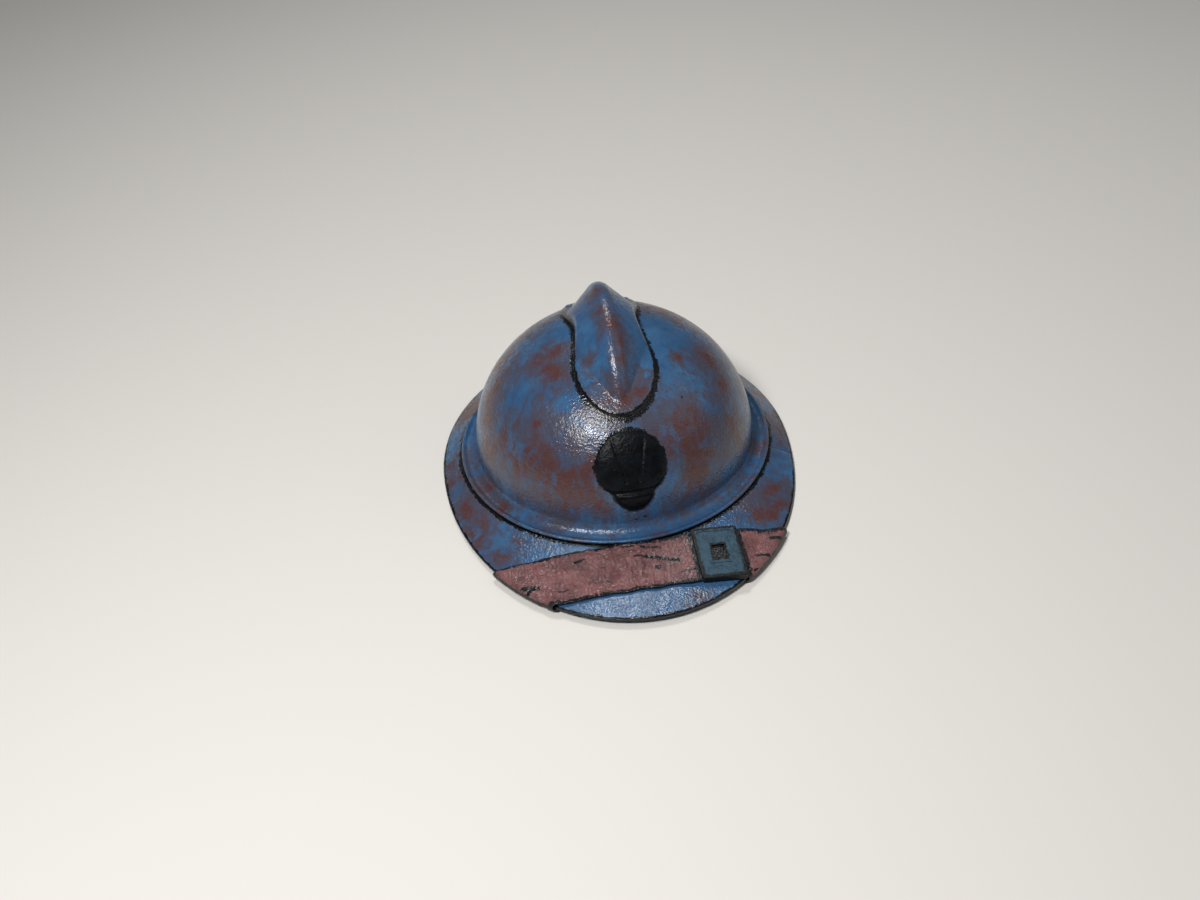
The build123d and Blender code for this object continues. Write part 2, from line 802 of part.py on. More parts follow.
with BuildPart() as chinstrap:
    with BuildSketch(Plane.XY.offset(-overrun)):
        with Locations((0, strap_middle)):
            Rectangle(3 * brim_half_width, strap_rear_edge - strap_front_edge)
    extrude(amount=crown_top)
    add(strap_outer, mode=Mode.INTERSECT)
    add(strap_inner, mode=Mode.SUBTRACT)
    ring_clear = ring_half_width + strap_under_gap
    ring_clear_length = ring_half_length + strap_under_gap
    add(oval_prism(ring_clear, ring_clear_length, ring_clear_length, 0, crown_top), mode=Mode.SUBTRACT)
    for side in (-1, 1):
        tail = strap_tail(side)
        under_layer = brim_block(peak_pitch, strap_outer_grow, overrun)
        add(tail & under_layer)
    for side in (-1, 1):
        with BuildSketch(strap_rivet_plane(side).offset(-overrun)):
            Circle(strap_rivet_radius + rivet_hole_clearance)
        extrude(amount=2 * overrun, mode=Mode.SUBTRACT)

with BuildPart() as strap_rivets:
    for side in (-1, 1):
        low = strap_rivet_plane(side)
        with BuildSketch(low):
            Circle(strap_rivet_radius)
        extrude(amount=2 * strap_thickness)
        with BuildSketch(low.offset(-strap_rivet_head_height)):
            Circle(strap_rivet_head_radius)
        extrude(amount=strap_rivet_head_height)
        with BuildSketch(low.offset(2 * strap_thickness)):
            Circle(strap_rivet_head_radius)
        extrude(amount=strap_rivet_head_height)

# Slide buckle: a flat tube that the strap runs through, with a window in its face
step = slide_length / 2
strap_mid_grow = strap_lift + strap_thickness / 2
slide_low = peak_height(slide_across - step, strap_middle, strap_mid_grow)
slide_high = peak_height(slide_across + step, strap_middle, strap_mid_grow)
slide_rear = peak_height(slide_across, strap_middle + step, strap_mid_grow)
slide_front = peak_height(slide_across, strap_middle - step, strap_mid_grow)
along_strap = Vector(2 * step, 0, slide_high - slide_low).normalized()
across_strap = Vector(0, 2 * step, slide_rear - slide_front).normalized()
slide_normal = along_strap.cross(across_strap).normalized()
strap_face = peak_height(slide_across, strap_middle, strap_mid_grow)
slide_plane = Plane(origin=(slide_across, strap_middle, strap_face), x_dir=along_strap, z_dir=slide_normal)
slide_inner_width = (strap_rear_edge - strap_front_edge) / across_strap.Y + 2 * slide_clearance
slide_outer_width = slide_inner_width + 2 * slide_wall
channel_low = -strap_thickness / 2 - slide_back_clearance
channel_high = strap_thickness / 2 + slide_clearance

with BuildPart() as strap_slide:
    with BuildSketch(slide_plane.offset(channel_low - slide_back)):
        RectangleRounded(slide_length, slide_outer_width, slide_corner)
    extrude(amount=channel_high + slide_face - channel_low + slide_back)
    fillet(strap_slide.faces().sort_by(Axis.Z)[-1].edges(), slide_edge_rounding)
    with BuildSketch(slide_plane.offset(channel_low)):
        Rectangle(slide_length + 2 * overrun, slide_inner_width)
    extrude(amount=channel_high - channel_low, mode=Mode.SUBTRACT)
    with BuildSketch(slide_plane.offset(channel_high + slide_face - slide_panel_depth)):
        RectangleRounded(
            slide_length - 2 * slide_panel_margin, slide_outer_width - 2 * slide_panel_margin, slide_corner
        )
        Rectangle(
            slide_window_length + 2 * slide_panel_margin,
            slide_window_width + 2 * slide_panel_margin,
            mode=Mode.SUBTRACT,
        )
    extrude(amount=overrun, mode=Mode.SUBTRACT)
    with BuildSketch(slide_plane.offset(channel_high - slide_clearance)):
        Rectangle(slide_window_length, slide_window_width)
    extrude(amount=overrun, mode=Mode.SUBTRACT)

pieces = {
    "bowl": bowl.part,
    "peak": peak.part,
    "neck_guard": neck_guard.part,
    "brim_joint_plate_left": brim_joint_plate_left.part,
    "brim_joint_plate_right": brim_joint_plate_right.part,
    "comb": comb.part,
    "comb_rivets": comb_rivets.part,
    "badge": badge.part,
    "liner_band": liner_band.part,
    "liner_lace": liner_lace.part,
    "ring_bracket_left": ring_bracket_left.part,
    "ring_bracket_right": ring_bracket_right.part,
    "strap_ring_left": strap_ring_left.part,
    "strap_ring_right": strap_ring_right.part,
    "chinstrap": chinstrap.part,
    "strap_rivets": strap_rivets.part,
    "strap_slide": strap_slide.part,
}
for number, piece in enumerate(liner_tongues, start=1):
    pieces[f"liner_tongue_{number}"] = piece
for name in sides:
    pieces[f"spacer_{name}"] = spacers[name]
    pieces[f"liner_lug_{name}"] = lugs[name]

for name, piece in pieces.items():
    piece.label = name
    export_step(piece, f"parts/{name}.step")

print("slide axis", along_strap, "slide centre", slide_plane.origin)
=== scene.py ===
import json
import math

import bmesh
import bpy
import numpy as np
from mathutils import Matrix, Vector, noise as field


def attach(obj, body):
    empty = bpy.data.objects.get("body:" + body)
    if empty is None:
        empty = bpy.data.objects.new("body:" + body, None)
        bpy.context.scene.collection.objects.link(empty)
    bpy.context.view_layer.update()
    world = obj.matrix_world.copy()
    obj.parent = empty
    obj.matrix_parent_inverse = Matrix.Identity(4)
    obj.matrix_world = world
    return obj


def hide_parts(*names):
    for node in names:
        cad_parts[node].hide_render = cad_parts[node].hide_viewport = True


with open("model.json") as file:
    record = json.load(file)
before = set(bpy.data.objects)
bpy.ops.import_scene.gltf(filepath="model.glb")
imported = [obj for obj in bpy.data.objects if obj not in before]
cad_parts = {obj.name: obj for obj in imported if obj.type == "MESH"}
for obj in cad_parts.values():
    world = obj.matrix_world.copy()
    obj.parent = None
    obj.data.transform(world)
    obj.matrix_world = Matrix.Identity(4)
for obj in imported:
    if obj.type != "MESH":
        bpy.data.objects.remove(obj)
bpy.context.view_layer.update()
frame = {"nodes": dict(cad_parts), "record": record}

nodes = frame["nodes"]
MM = 0.001

# Sizes of the steel shell in millimetres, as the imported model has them
CENTRE_Y = 17.0
SEAM_Y = -17.0
SEAM_GAP = 0.4
SHEET = 0.8
DOME_WIDE, DOME_LONG, DOME_RISE, DOME_WAIST = 94.3, 98.2, 84.0, 19.7
OVAL = DOME_LONG / DOME_WIDE
RING_WIDE, RING_HEIGHT, BEAD = 105.7, 12.0, 1.2
RING_LONG = RING_WIDE * OVAL
FLANGE_WIDE = 96.7
BRIM_WIDE, BRIM_FRONT, BRIM_REAR, HEM = 120.0, RING_LONG + 59.9, RING_LONG + 25.9, 1.8
PITCH = math.tan(math.radians(1.53))
CROWN_TOP = DOME_WAIST + DOME_RISE

# Sizes of the strap
STRAP_REAR = CENTRE_Y - RING_LONG - 0.7
STRAP_FRONT = STRAP_REAR - 38.0
STRAP_THICK = 1.6
SLIDE_AT = (46.0, -112.771, 11.0526)
SLIDE_ALONG = (0.997301, 0.0, -0.073427)
SLIDE_ACROSS = (0.0, 0.9997, 0.0245)

# Sizes of the liner
BAND_WIDE, BAND_LOW, BAND_HIGH, LEATHER = 86.0, 14.0, 44.0, 1.5
CROWN_GAP = 12.0
LINER_RISE = CROWN_TOP - SHEET - CROWN_GAP - BAND_HIGH
LACE_REACH, HEM_BORE, HEM_LEATHER = 24.0, 1.35, 1.2
TONGUES = 7

rng = np.random.default_rng(7)

# Brown blotches of the paint: x, y from the bowl's centre, z and radius, in millimetres
BLOTCHES = [
    (-76, -46, 51, 17), (-61, -64, 54, 17), (-47, -78, 49, 20), (-32, -88, 44, 18), (-20, -88, 52, 14),
    (-44, -10, 93, 8), (-35, -11, 97, 8), (-44, -23, 91, 9), (-38, -32, 91, 10), (-66, 15, 78, 9),
    (-75, 3, 70, 9), (-81, -4, 62, 9), (-85, -17, 54, 9), (-66, -42, 68, 4), (-53, -52, 72, 4),
    (-87, -29, 39, 12), (-92, -38, 17, 9), (-83, -58, 15, 8), (63, -16, 80, 9), (66, -21, 77, 9),
    (72, -32, 67, 9), (72, -52, 51, 10), (76, -55, 38, 9), (42, -28, 91, 5), (38, -64, 73, 12),
    (37, -76, 61, 14), (46, -74, 57, 12), (46, -81, 42, 14), (39, -88, 34, 12), (28, -75, 68, 11),
    (40, 24, 93, 8), (52, 15, 89, 8), (67, 23, 76, 8), (16, -106, 15, 5), (-5, -79, 70, 6),
    (-40, -87, 35, 8), (-22, -94, 33, 5), (-111, -19, 6, 12), (-102, -73, 6, 14), (-107, -49, 6, 11),
    (92, -75, 6, 12), (92, -93, 6, 14), (79, -99, 8, 10), (110, -19, 6, 8), (-88, -101, 6, 9),
    (-75, -90, 9, 6), (27, -160, 4, 6), (-3, 10, 125, 6), (4, 16, 124, 5), (-2, -12, 125, 6),
    (2, -24, 122, 7), (5, -36, 115, 6), (3, -45, 108, 5), (-16, -50, 97, 6), (-12, -60, 90, 8),
    (2, -62, 88, 9), (14, -58, 90, 7), (20, -48, 95, 4), (-18, -36, 103, 4), (95, -34, 18, 9),
    (86, 6, 55, 9), (88, -9, 48, 9),
]
# Small dark specks: the same as the blotches
SPECKS = [
    (39, -56, 79, 1.3), (0, -98.6, 21, 1.0), (3, -98.4, 22, 1.1), (6, -98.2, 22, 1.0),
    (9, -97.9, 21.5, 0.9), (31, -68, 72, 1.0), (34, -67, 71, 0.9), (27, -67, 75, 0.8),
    (-78, -50, 38, 0.9), (-86, -56, 16, 1.1),
]
# Black strokes on the strap: x, y from the bowl's centre, half length, half width and lean
STROKES = [
    (9, -127, 14.5, 1.3, -0.33), (5, -117, 6.5, 0.9, -0.25), (7, -134, 2.2, 1.6, 0.0),
    (-72, -133, 7.5, 1.9, -0.2), (-76, -137, 4.0, 1.2, 0.3), (74, -133.5, 6.5, 1.3, 0.0),
    (84, -119.5, 5.0, 1.6, 0.0), (71, -144, 7.0, 1.8, 0.15), (-40, -119, 4.0, 1.0, 0.2),
    (-52, -140, 3.5, 0.8, 0.1), (-9, -114, 5.0, 0.8, -0.1), (24, -140.5, 4.0, 0.9, 0.1),
]
# Widths over which the black lining fades out
CREST_LINE, BADGE_LINE, FOOT_LINE, GROOVE_LINE, RIM_LINE = 4.0, 3.0, 1.9, 3.8, 3.0
# How much wider the brown glaze reaches than its blotch
GLAZE_SPREAD = 1.7


# Meshes

def mesh_object(name, points, faces, material, smooth=True, **attributes):
    """A mesh from points in millimetres, with a float attribute for each extra keyword."""
    mesh = bpy.data.meshes.new(name)
    mesh.from_pydata([tuple(p) for p in np.asarray(points) * MM], [], [tuple(f) for f in faces])
    for key, values in attributes.items():
        layer = mesh.attributes.new(key, "FLOAT", "POINT")
        layer.data.foreach_set("value", np.asarray(values, dtype=np.float32))
    work = bmesh.new()
    work.from_mesh(mesh)
    bmesh.ops.remove_doubles(work, verts=work.verts, dist=0.00001)
    bmesh.ops.recalc_face_normals(work, faces=work.faces)
    work.to_mesh(mesh)
    work.free()
    mesh.materials.append(material)
    if smooth:
        mesh.polygons.foreach_set("use_smooth", [True] * len(mesh.polygons))
    obj = bpy.data.objects.new(name, mesh)
    bpy.context.scene.collection.objects.link(obj)
    return obj


def grid_faces(rows, cols, close_rows=False, close_cols=False):
    """Quads over a grid of points stored row by row."""
    faces = []
    for i in range(rows if close_rows else rows - 1):
        for j in range(cols if close_cols else cols - 1):
            a = i * cols + j
            b = i * cols + (j + 1) % cols
            c = ((i + 1) % rows) * cols + (j + 1) % cols
            d = ((i + 1) % rows) * cols + j
            faces.append((a, b, c, d))
    return faces


def oval_place(reach, turn, z):
    """A place at a reach from the bowl's centre, turned in radians from +X, and at a height."""
    return np.stack([reach * np.cos(turn), CENTRE_Y + reach * OVAL * np.sin(turn), z], axis=-1)


def dome_z(x, y, grow=0.0):
    """Height of the dome over a place measured from the bowl's centre."""
    left = 1 - (x / (DOME_WIDE + grow)) ** 2 - (y / (DOME_LONG + grow)) ** 2
    return DOME_WAIST + (DOME_RISE + grow) * np.sqrt(np.maximum(left, 0.0))


def arc(cx, cz, radius, start, end, count):
    """Points on an arc in a radial section, angles in degrees."""
    t = np.radians(np.linspace(start, end, count))
    return np.stack([cx + radius * np.cos(t), cz + radius * np.sin(t)], axis=-1)


def near(points, line):
    """Distance of each point to the nearest point of a dense line."""
    gap = points[:, None, :] - line[None, :, :]
    return np.sqrt((gap**2).sum(-1)).min(1)


def scatter_blotches():
    """Blotches on the rear half of the bowl and of the brim, in the manner of those at the front."""
    places = []
    for _ in range(60):
        turn, lift = rng.uniform(-0.15, math.pi + 0.15), rng.uniform(0.05, 1.25)
        x = DOME_WIDE * math.cos(lift) * math.cos(turn)
        y = DOME_LONG * math.cos(lift) * math.sin(turn)
        if y > 20:
            places.append((x, y, DOME_WAIST + DOME_RISE * math.sin(lift), rng.uniform(4, 13)))
    for _ in range(16):
        turn = rng.uniform(-0.1, math.pi + 0.1)
        places.append((113 * math.cos(turn), 125 * math.sin(turn), 6, rng.uniform(6, 14)))
    return places


ALL_BLOTCHES = np.array(BLOTCHES + scatter_blotches()) + (0, CENTRE_Y, 0, 0)
ALL_SPECKS = np.array(SPECKS) + (0, CENTRE_Y, 0, 0)


def spread(points, places):
    """How strongly each point is covered by soft round places, from 0 to 1."""
    gap = ((points[:, None, :] - places[None, :, :3]) ** 2).sum(-1)
    return 1 - np.prod(1 - np.exp(-gap / places[None, :, 3] ** 2), axis=1)


def stains(points, shown=1.0):
    """The paint's brown blotches and the wider glaze round them, as attributes."""
    wide = ALL_BLOTCHES * (1, 1, 1, GLAZE_SPREAD)
    return {"blotch": spread(points, ALL_BLOTCHES) * shown, "glaze": spread(points, wide) * shown}


# Materials

def feed(node, **inputs):
    """Link or set a node's inputs, with underscores for the spaces in their names."""
    for key, value in inputs.items():
        socket = node.inputs[key.replace("_", " ")]
        if isinstance(value, bpy.types.NodeSocket):
            node.id_data.links.new(value, socket)
        else:
            socket.default_value = value
    return node


def new_material(name):
    """An empty node material: itself, its shader and a helper that adds a node."""
    material = bpy.data.materials.new(name)
    material.use_nodes = True
    tree = material.node_tree

    def add(kind, **inputs):
        return feed(tree.nodes.new(kind), **inputs)

    return material, tree.nodes["Principled BSDF"], add


def object_point(add, stretch=(1, 1, 1)):
    """Object coordinates, stretched."""
    coords = add("ShaderNodeTexCoord").outputs["Object"]
    return add("ShaderNodeMapping", Vector=coords, Scale=stretch).outputs["Vector"]


def noise(add, vector, scale, detail=4.0, roughness=0.55, distortion=0.0):
    """A noise texture's value."""
    node = add("ShaderNodeTexNoise", Vector=vector, Scale=scale, Detail=detail)
    return feed(node, Roughness=roughness, Distortion=distortion).outputs["Fac"]


def ramp(add, value, low, high, start=0.0, end=1.0):
    """A smooth step of a value between two limits."""
    node = add("ShaderNodeMapRange", Value=value, From_Min=low, From_Max=high, To_Min=start, To_Max=end)
    node.interpolation_type = "SMOOTHSTEP"
    node.clamp = True
    return node.outputs["Result"]


def math_node(add, kind, first, second=None):
    """A math node on one or two values."""
    node = add("ShaderNodeMath")
    node.operation = kind
    for socket, value in zip(node.inputs, (first, second)):
        if isinstance(value, bpy.types.NodeSocket):
            node.id_data.links.new(value, socket)
        elif value is not None:
            socket.default_value = value
    return node.outputs["Value"]


def mix(add, factor, first, second):
    """A colour mix."""
    node = add("ShaderNodeMix")
    node.data_type = "RGBA"
    links = node.id_data.links
    for index, value in ((0, factor), (6, first), (7, second)):
        if isinstance(value, bpy.types.NodeSocket):
            links.new(value, node.inputs[index])
        elif index == 0:
            node.inputs[index].default_value = value
        else:
            node.inputs[index].default_value = (*value, 1.0)
    return node.outputs[2]


def attribute(add, name):
    """A float attribute's value."""
    node = add("ShaderNodeAttribute")
    node.attribute_name = name
    return node.outputs["Fac"]


def bump(add, shader, height, strength, distance):
    """Bump on the shader from a height."""
    node = add("ShaderNodeBump", Height=height, Strength=strength, Distance=distance)
    feed(shader, Normal=node.outputs["Normal"])


INK = (0.0025, 0.003, 0.004)
BLUE = (0.026, 0.082, 0.185)
BRIGHT_BLUE = (0.046, 0.135, 0.270)
GLAZE = (0.070, 0.056, 0.072)
BROWN = (0.090, 0.034, 0.030)
MAUVE = (0.230, 0.095, 0.095)


def patches(add, vector, scale, detail, roughness, distortion=0.0):
    """Noise stretched to run from 0 to 1."""
    return ramp(add, noise(add, vector, scale, detail, roughness, distortion), 0.36, 0.64)


def weighted(add, *terms):
    """The sum of values times weights."""
    total = None
    for value, weight in terms:
        part = math_node(add, "MULTIPLY", value, weight)
        total = part if total is None else math_node(add, "ADD", total, part)
    return total


def ink_mask(add, point):
    """Where the black lining shows: the ink attribute with a ragged edge."""
    coarse = patches(add, point, 190.0, 3.0, 0.6)
    fine = patches(add, point, 850.0, 3.0, 0.6)
    total = weighted(add, (attribute(add, "ink"), 1.0), (coarse, 0.34), (fine, 0.24))
    return ramp(add, total, 0.70, 0.80)


def paint_material():
    """Satin blue paint with streaky brown glazes, black hand lining and a fine grain."""
    material, shader, add = new_material("helmet_paint")
    point = object_point(add)
    brushed = object_point(add, (1.0, 0.8, 0.45))
    broad = patches(add, point, 48.0, 4.0, 0.55, 0.6)
    streaks = patches(add, brushed, 150.0, 4.0, 0.58, 0.8)
    fine = patches(add, brushed, 520.0, 3.0, 0.6, 0.5)
    texture = weighted(add, (broad, 0.45), (streaks, 0.42), (fine, 0.20))
    core = math_node(add, "ADD", attribute(add, "blotch"), texture)
    veil = math_node(add, "ADD", attribute(add, "glaze"), texture)
    tone = weighted(add, (patches(add, point, 30.0, 6.0, 0.62), 0.7), (streaks, 0.3))
    colour = mix(add, tone, BRIGHT_BLUE, BLUE)
    colour = mix(add, ramp(add, veil, 0.72, 1.50, 0.0, 0.84), colour, GLAZE)
    colour = mix(add, ramp(add, core, 1.00, 1.78, 0.0, 0.94), colour, BROWN)
    colour = mix(add, ink_mask(add, point), colour, INK)
    feed(shader, Base_Color=colour, Roughness=ramp(add, broad, 0.0, 1.0, 0.18, 0.28), Specular_IOR_Level=0.5)
    grain = noise(add, point, 620.0, 2.0, 0.5)
    swell = noise(add, point, 130.0, 3.0, 0.5)
    bump(add, shader, weighted(add, (grain, 1.0), (swell, 1.2), (streaks, 0.12)), 0.62, 0.0006)
    return material


def plain_paint(name, colour, worn, roughness, specular):
    """One coat of paint with worn, lighter patches and a fine grain."""
    material, shader, add = new_material(name)
    point = object_point(add)
    coat = mix(add, patches(add, point, 170.0, 6.0, 0.68), colour, worn)
    feed(shader, Base_Color=coat, Roughness=roughness, Specular_IOR_Level=specular)
    bump(add, shader, noise(add, point, 480.0, 3.0, 0.6), 0.5, 0.0008)
    return material


def metal(name, colour, roughness, grain):
    """Bare metal with a drawn grain and dull patches."""
    material, shader, add = new_material(name)
    point = object_point(add)
    patch = ramp(add, noise(add, point, 140.0, 5.0), 0.35, 0.7)
    tone = mix(add, patch, colour, tuple(0.55 * c for c in colour))
    dull = ramp(add, patch, 0.0, 1.0, roughness, roughness + 0.2)
    feed(shader, Base_Color=tone, Metallic=1.0, Roughness=dull)
    bump(add, shader, noise(add, object_point(add, grain), 300.0, 3.0), 0.2, 0.0004)
    return material


def buckle_material():
    """Blue-grey paint on the slide, with its window and a thin ragged line round it painted black as painted
    shade of the opening, and black lining round its rim.
    """
    material, shader, add = new_material("buckle_paint")
    point = object_point(add)
    patch = patches(add, point, 260.0, 6.0, 0.7)
    colour = mix(add, patch, (0.014, 0.042, 0.068), (0.034, 0.085, 0.125))
    ragged = patches(add, point, 330.0, 4.0, 0.65)

    def past(direction, half):
        """Distance in millimetres past a half size from the slide's middle, along a direction."""
        dot = add("ShaderNodeVectorMath", Vector=point)
        dot.operation = "DOT_PRODUCT"
        dot.inputs[1].default_value = direction
        middle = sum(a * b for a, b in zip(SLIDE_AT, direction)) * MM
        offset = math_node(add, "SUBTRACT", dot.outputs["Value"], middle)
        millimetres = math_node(add, "DIVIDE", math_node(add, "ABSOLUTE", offset), MM)
        return math_node(add, "SUBTRACT", millimetres, half)

    window = math_node(add, "MAXIMUM", past(SLIDE_ALONG, 4.25), past(SLIDE_ACROSS, 5.75))
    rim = math_node(add, "MAXIMUM", past(SLIDE_ALONG, 14.5), past(SLIDE_ACROSS, 20.2))
    # Painted shade: black inside the slide's window and just round it, so the opening reads dark.
    window_shade = ramp(add, math_node(add, "SUBTRACT", window, ragged), 0.3, 0.8, 1.0, 0.0)
    round_rim = ramp(add, math_node(add, "ADD", rim, ragged), -2.0, -1.4)
    ink = math_node(add, "MAXIMUM", window_shade, round_rim)
    feed(shader, Base_Color=mix(add, ink, colour, INK), Roughness=0.40, Specular_IOR_Level=0.3)
    bump(add, shader, noise(add, point, 420.0, 4.0, 0.65), 0.5, 0.0008)
    return material


def strap_material():
    """Mauve-brown painted leather with creases, black strokes and black edges."""
    material, shader, add = new_material("strap_leather")
    point = object_point(add)
    tone = patches(add, point, 60.0, 5.0, 0.65)
    colour = mix(add, tone, MAUVE, (0.125, 0.050, 0.050))
    drawn = object_point(add, (0.4, 1.0, 1.0))
    dirt = ramp(add, noise(add, drawn, 260.0, 5.0, 0.7, 0.8), 0.58, 0.68, 0.0, 0.8)
    colour = mix(add, dirt, colour, (0.026, 0.020, 0.024))
    colour = mix(add, ink_mask(add, point), colour, INK)
    gloss = attribute(add, "gloss")
    dull = ramp(add, noise(add, point, 90.0, 3.0), 0.3, 0.7, 0.30, 0.46)
    feed(shader, Base_Color=colour, Roughness=weighted(add, (dull, 1.0), (gloss, -0.18)))
    crackle = add("ShaderNodeTexVoronoi", Vector=point, Scale=420.0)
    crackle.feature = "DISTANCE_TO_EDGE"
    pores = ramp(add, crackle.outputs["Distance"], 0.0, 0.12)
    rough = math_node(add, "MULTIPLY", noise(add, point, 210.0, 4.0, 0.6), 1.4)
    wrinkles = math_node(add, "MULTIPLY", gloss, noise(add, point, 330.0, 3.0, 0.6, 1.2))
    height = weighted(add, (pores, 0.35), (rough, 1.0), (wrinkles, 1.3))
    bump(add, shader, height, 0.6, 0.0009)
    return material


def liner_material(name, light, dark):
    """Dark goatskin with grain, creases and rubbed patches."""
    material, shader, add = new_material(name)
    point = object_point(add)
    tone = ramp(add, noise(add, point, 35.0, 6.0, 0.65), 0.3, 0.72)
    colour = mix(add, tone, light, dark)
    feed(shader, Base_Color=colour, Roughness=ramp(add, tone, 0.0, 1.0, 0.46, 0.66))
    cells = add("ShaderNodeTexVoronoi", Vector=point, Scale=700.0)
    cells.feature = "DISTANCE_TO_EDGE"
    pores = ramp(add, cells.outputs["Distance"], 0.0, 0.1)
    creases = math_node(add, "MULTIPLY", noise(add, point, 120.0, 5.0, 0.6, 1.2), 1.5)
    bump(add, shader, math_node(add, "ADD", pores, creases), 0.4, 0.0006)
    return material


def cord_material():
    """Waxed flax cord with a fine twist."""
    material, shader, add = new_material("lace_cord")
    point = object_point(add)
    wave = add("ShaderNodeTexWave", Vector=point, Scale=420.0, Distortion=3.0)
    tone = mix(add, wave.outputs["Fac"], (0.42, 0.34, 0.22), (0.22, 0.17, 0.10))
    feed(shader, Base_Color=tone, Roughness=0.75)
    bump(add, shader, wave.outputs["Fac"], 0.5, 0.0005)
    return material


paint = paint_material()
badge_paint = plain_paint("badge_black", (0.0010, 0.0012, 0.0016), (0.004, 0.006, 0.009), 0.36, 0.16)
buckle_paint = buckle_material()
steel = metal("bare_steel", (0.36, 0.35, 0.34), 0.36, (1, 6, 1))
aluminium = metal("corrugated_aluminium", (0.62, 0.62, 0.63), 0.34, (1, 1, 0.2))
strap_leather = strap_material()
liner_leather = liner_material("liner_leather", (0.115, 0.060, 0.032), (0.055, 0.028, 0.016))
cord_fibre = cord_material()


# Crest outline and height, shared by the crest and the ink round it

CREST_LONG, CREST_WIDE, CREST_WAIST, CREST_WIDEST = 69.0, 25.5, 21.0, 36.0
RIDGE_LONG, RIDGE_HIGH, NUB, FLANK, FLANK_FOOT = 63.0, 22.5, 8.0, 22.9, 4.0
FLANK_ANGLE = math.radians(44.0)
FOOT_RISE, FOOT_ROUNDING, FOOT_BLEND, FOOT_SEAT = 1.75, 2.6, 1.3, 0.3


def ridge_z(x, y, inset=0.0):
    """Height of the ridge's skin over a place from the bowl's centre: a round top on flared flanks."""
    end = DOME_WAIST + DOME_RISE * math.sqrt(1 - (RIDGE_LONG / DOME_LONG) ** 2)
    rise = CROWN_TOP + RIDGE_HIGH - end
    bend = (RIDGE_LONG**2 + rise**2) / (2 * rise)
    across, upright = math.sin(FLANK_ANGLE), math.cos(FLANK_ANGLE)
    top, foot = NUB - inset, FLANK_FOOT + inset
    x = np.abs(x)
    meeting = across * top
    crown = bend - NUB + np.sqrt(np.maximum(top**2 - x**2, 0))
    flank = bend - NUB + upright * top - (x - meeting) * across / upright
    low_x = meeting + upright * FLANK
    foot_x = low_x + across * foot
    low = bend - NUB + upright * top - across * FLANK - (1 - upright) * foot
    hollow = low + foot - np.sqrt(np.maximum(foot**2 - (foot_x - np.minimum(x, foot_x)) ** 2, 0))
    radius = np.where(x < meeting, crown, np.where(x < low_x, flank, hollow))
    return end + rise - bend + np.sqrt(np.maximum(radius**2 - y**2, 0))


def crest_half_width(y):
    """Half width of the crest's foot at a distance along it."""
    y = np.abs(np.asarray(y, dtype=float))
    inner = y / CREST_WIDEST
    middle = CREST_WAIST + (CREST_WIDE - CREST_WAIST) * (3 * inner**2 - 2 * inner**3)
    outer = np.clip((y - CREST_WIDEST) / (CREST_LONG - CREST_WIDEST), 0, 1)
    tip = CREST_WIDE * np.sqrt(np.maximum(1 - outer**2, 0))
    return np.where(y < CREST_WIDEST, middle, tip)


def crest_outline():
    """The foot's outline in plan as a dense line, from the bowl's centre."""
    y = CREST_LONG * np.sin(np.linspace(-math.pi / 2, math.pi / 2, 240))
    x = crest_half_width(y)
    return np.concatenate([np.stack([x, y], -1), np.stack([-x[::-1], y[::-1]], -1)])


BADGE_OUTLINE = [
    (0, 21.0), (8.5, 19.8), (15.8, 15.0), (20.5, 9.0), (22.0, 2.5), (21.2, -3.5), (18.6, -8.2),
    (14.6, -11.3), (12.8, -13.0), (11.6, -16.5), (9.0, -20.0), (4.5, -23.3), (0, -24.5),
]
BADGE_Z, BADGE_NECK, BADGE_LIP, BADGE_BALL = 53.0, 11.6, 13.6, 17.0


def smooth_line(points, count):
    """A smooth line through points, by Catmull-Rom spans."""
    p = np.asarray(points, dtype=float)
    p = np.vstack([2 * p[0] - p[1], p, 2 * p[-1] - p[-2]])
    out = []
    for i in range(1, len(p) - 2):
        t = np.linspace(0, 1, count, endpoint=False)[:, None]
        a, b, c, d = p[i - 1], p[i], p[i + 1], p[i + 2]
        bend = 2 * a - 5 * b + 4 * c - d
        twist = 3 * b - a - 3 * c + d
        out.append(0.5 * (2 * b + (c - a) * t + bend * t**2 + twist * t**3))
    out.append(p[-2][None])
    return np.vstack(out)


def badge_line():
    """The badge's whole outline across and up, from its middle."""
    right = smooth_line(BADGE_OUTLINE, 10)
    left = right[::-1][1:-1] * np.array([-1, 1])
    return np.vstack([right, left])


# Bowl

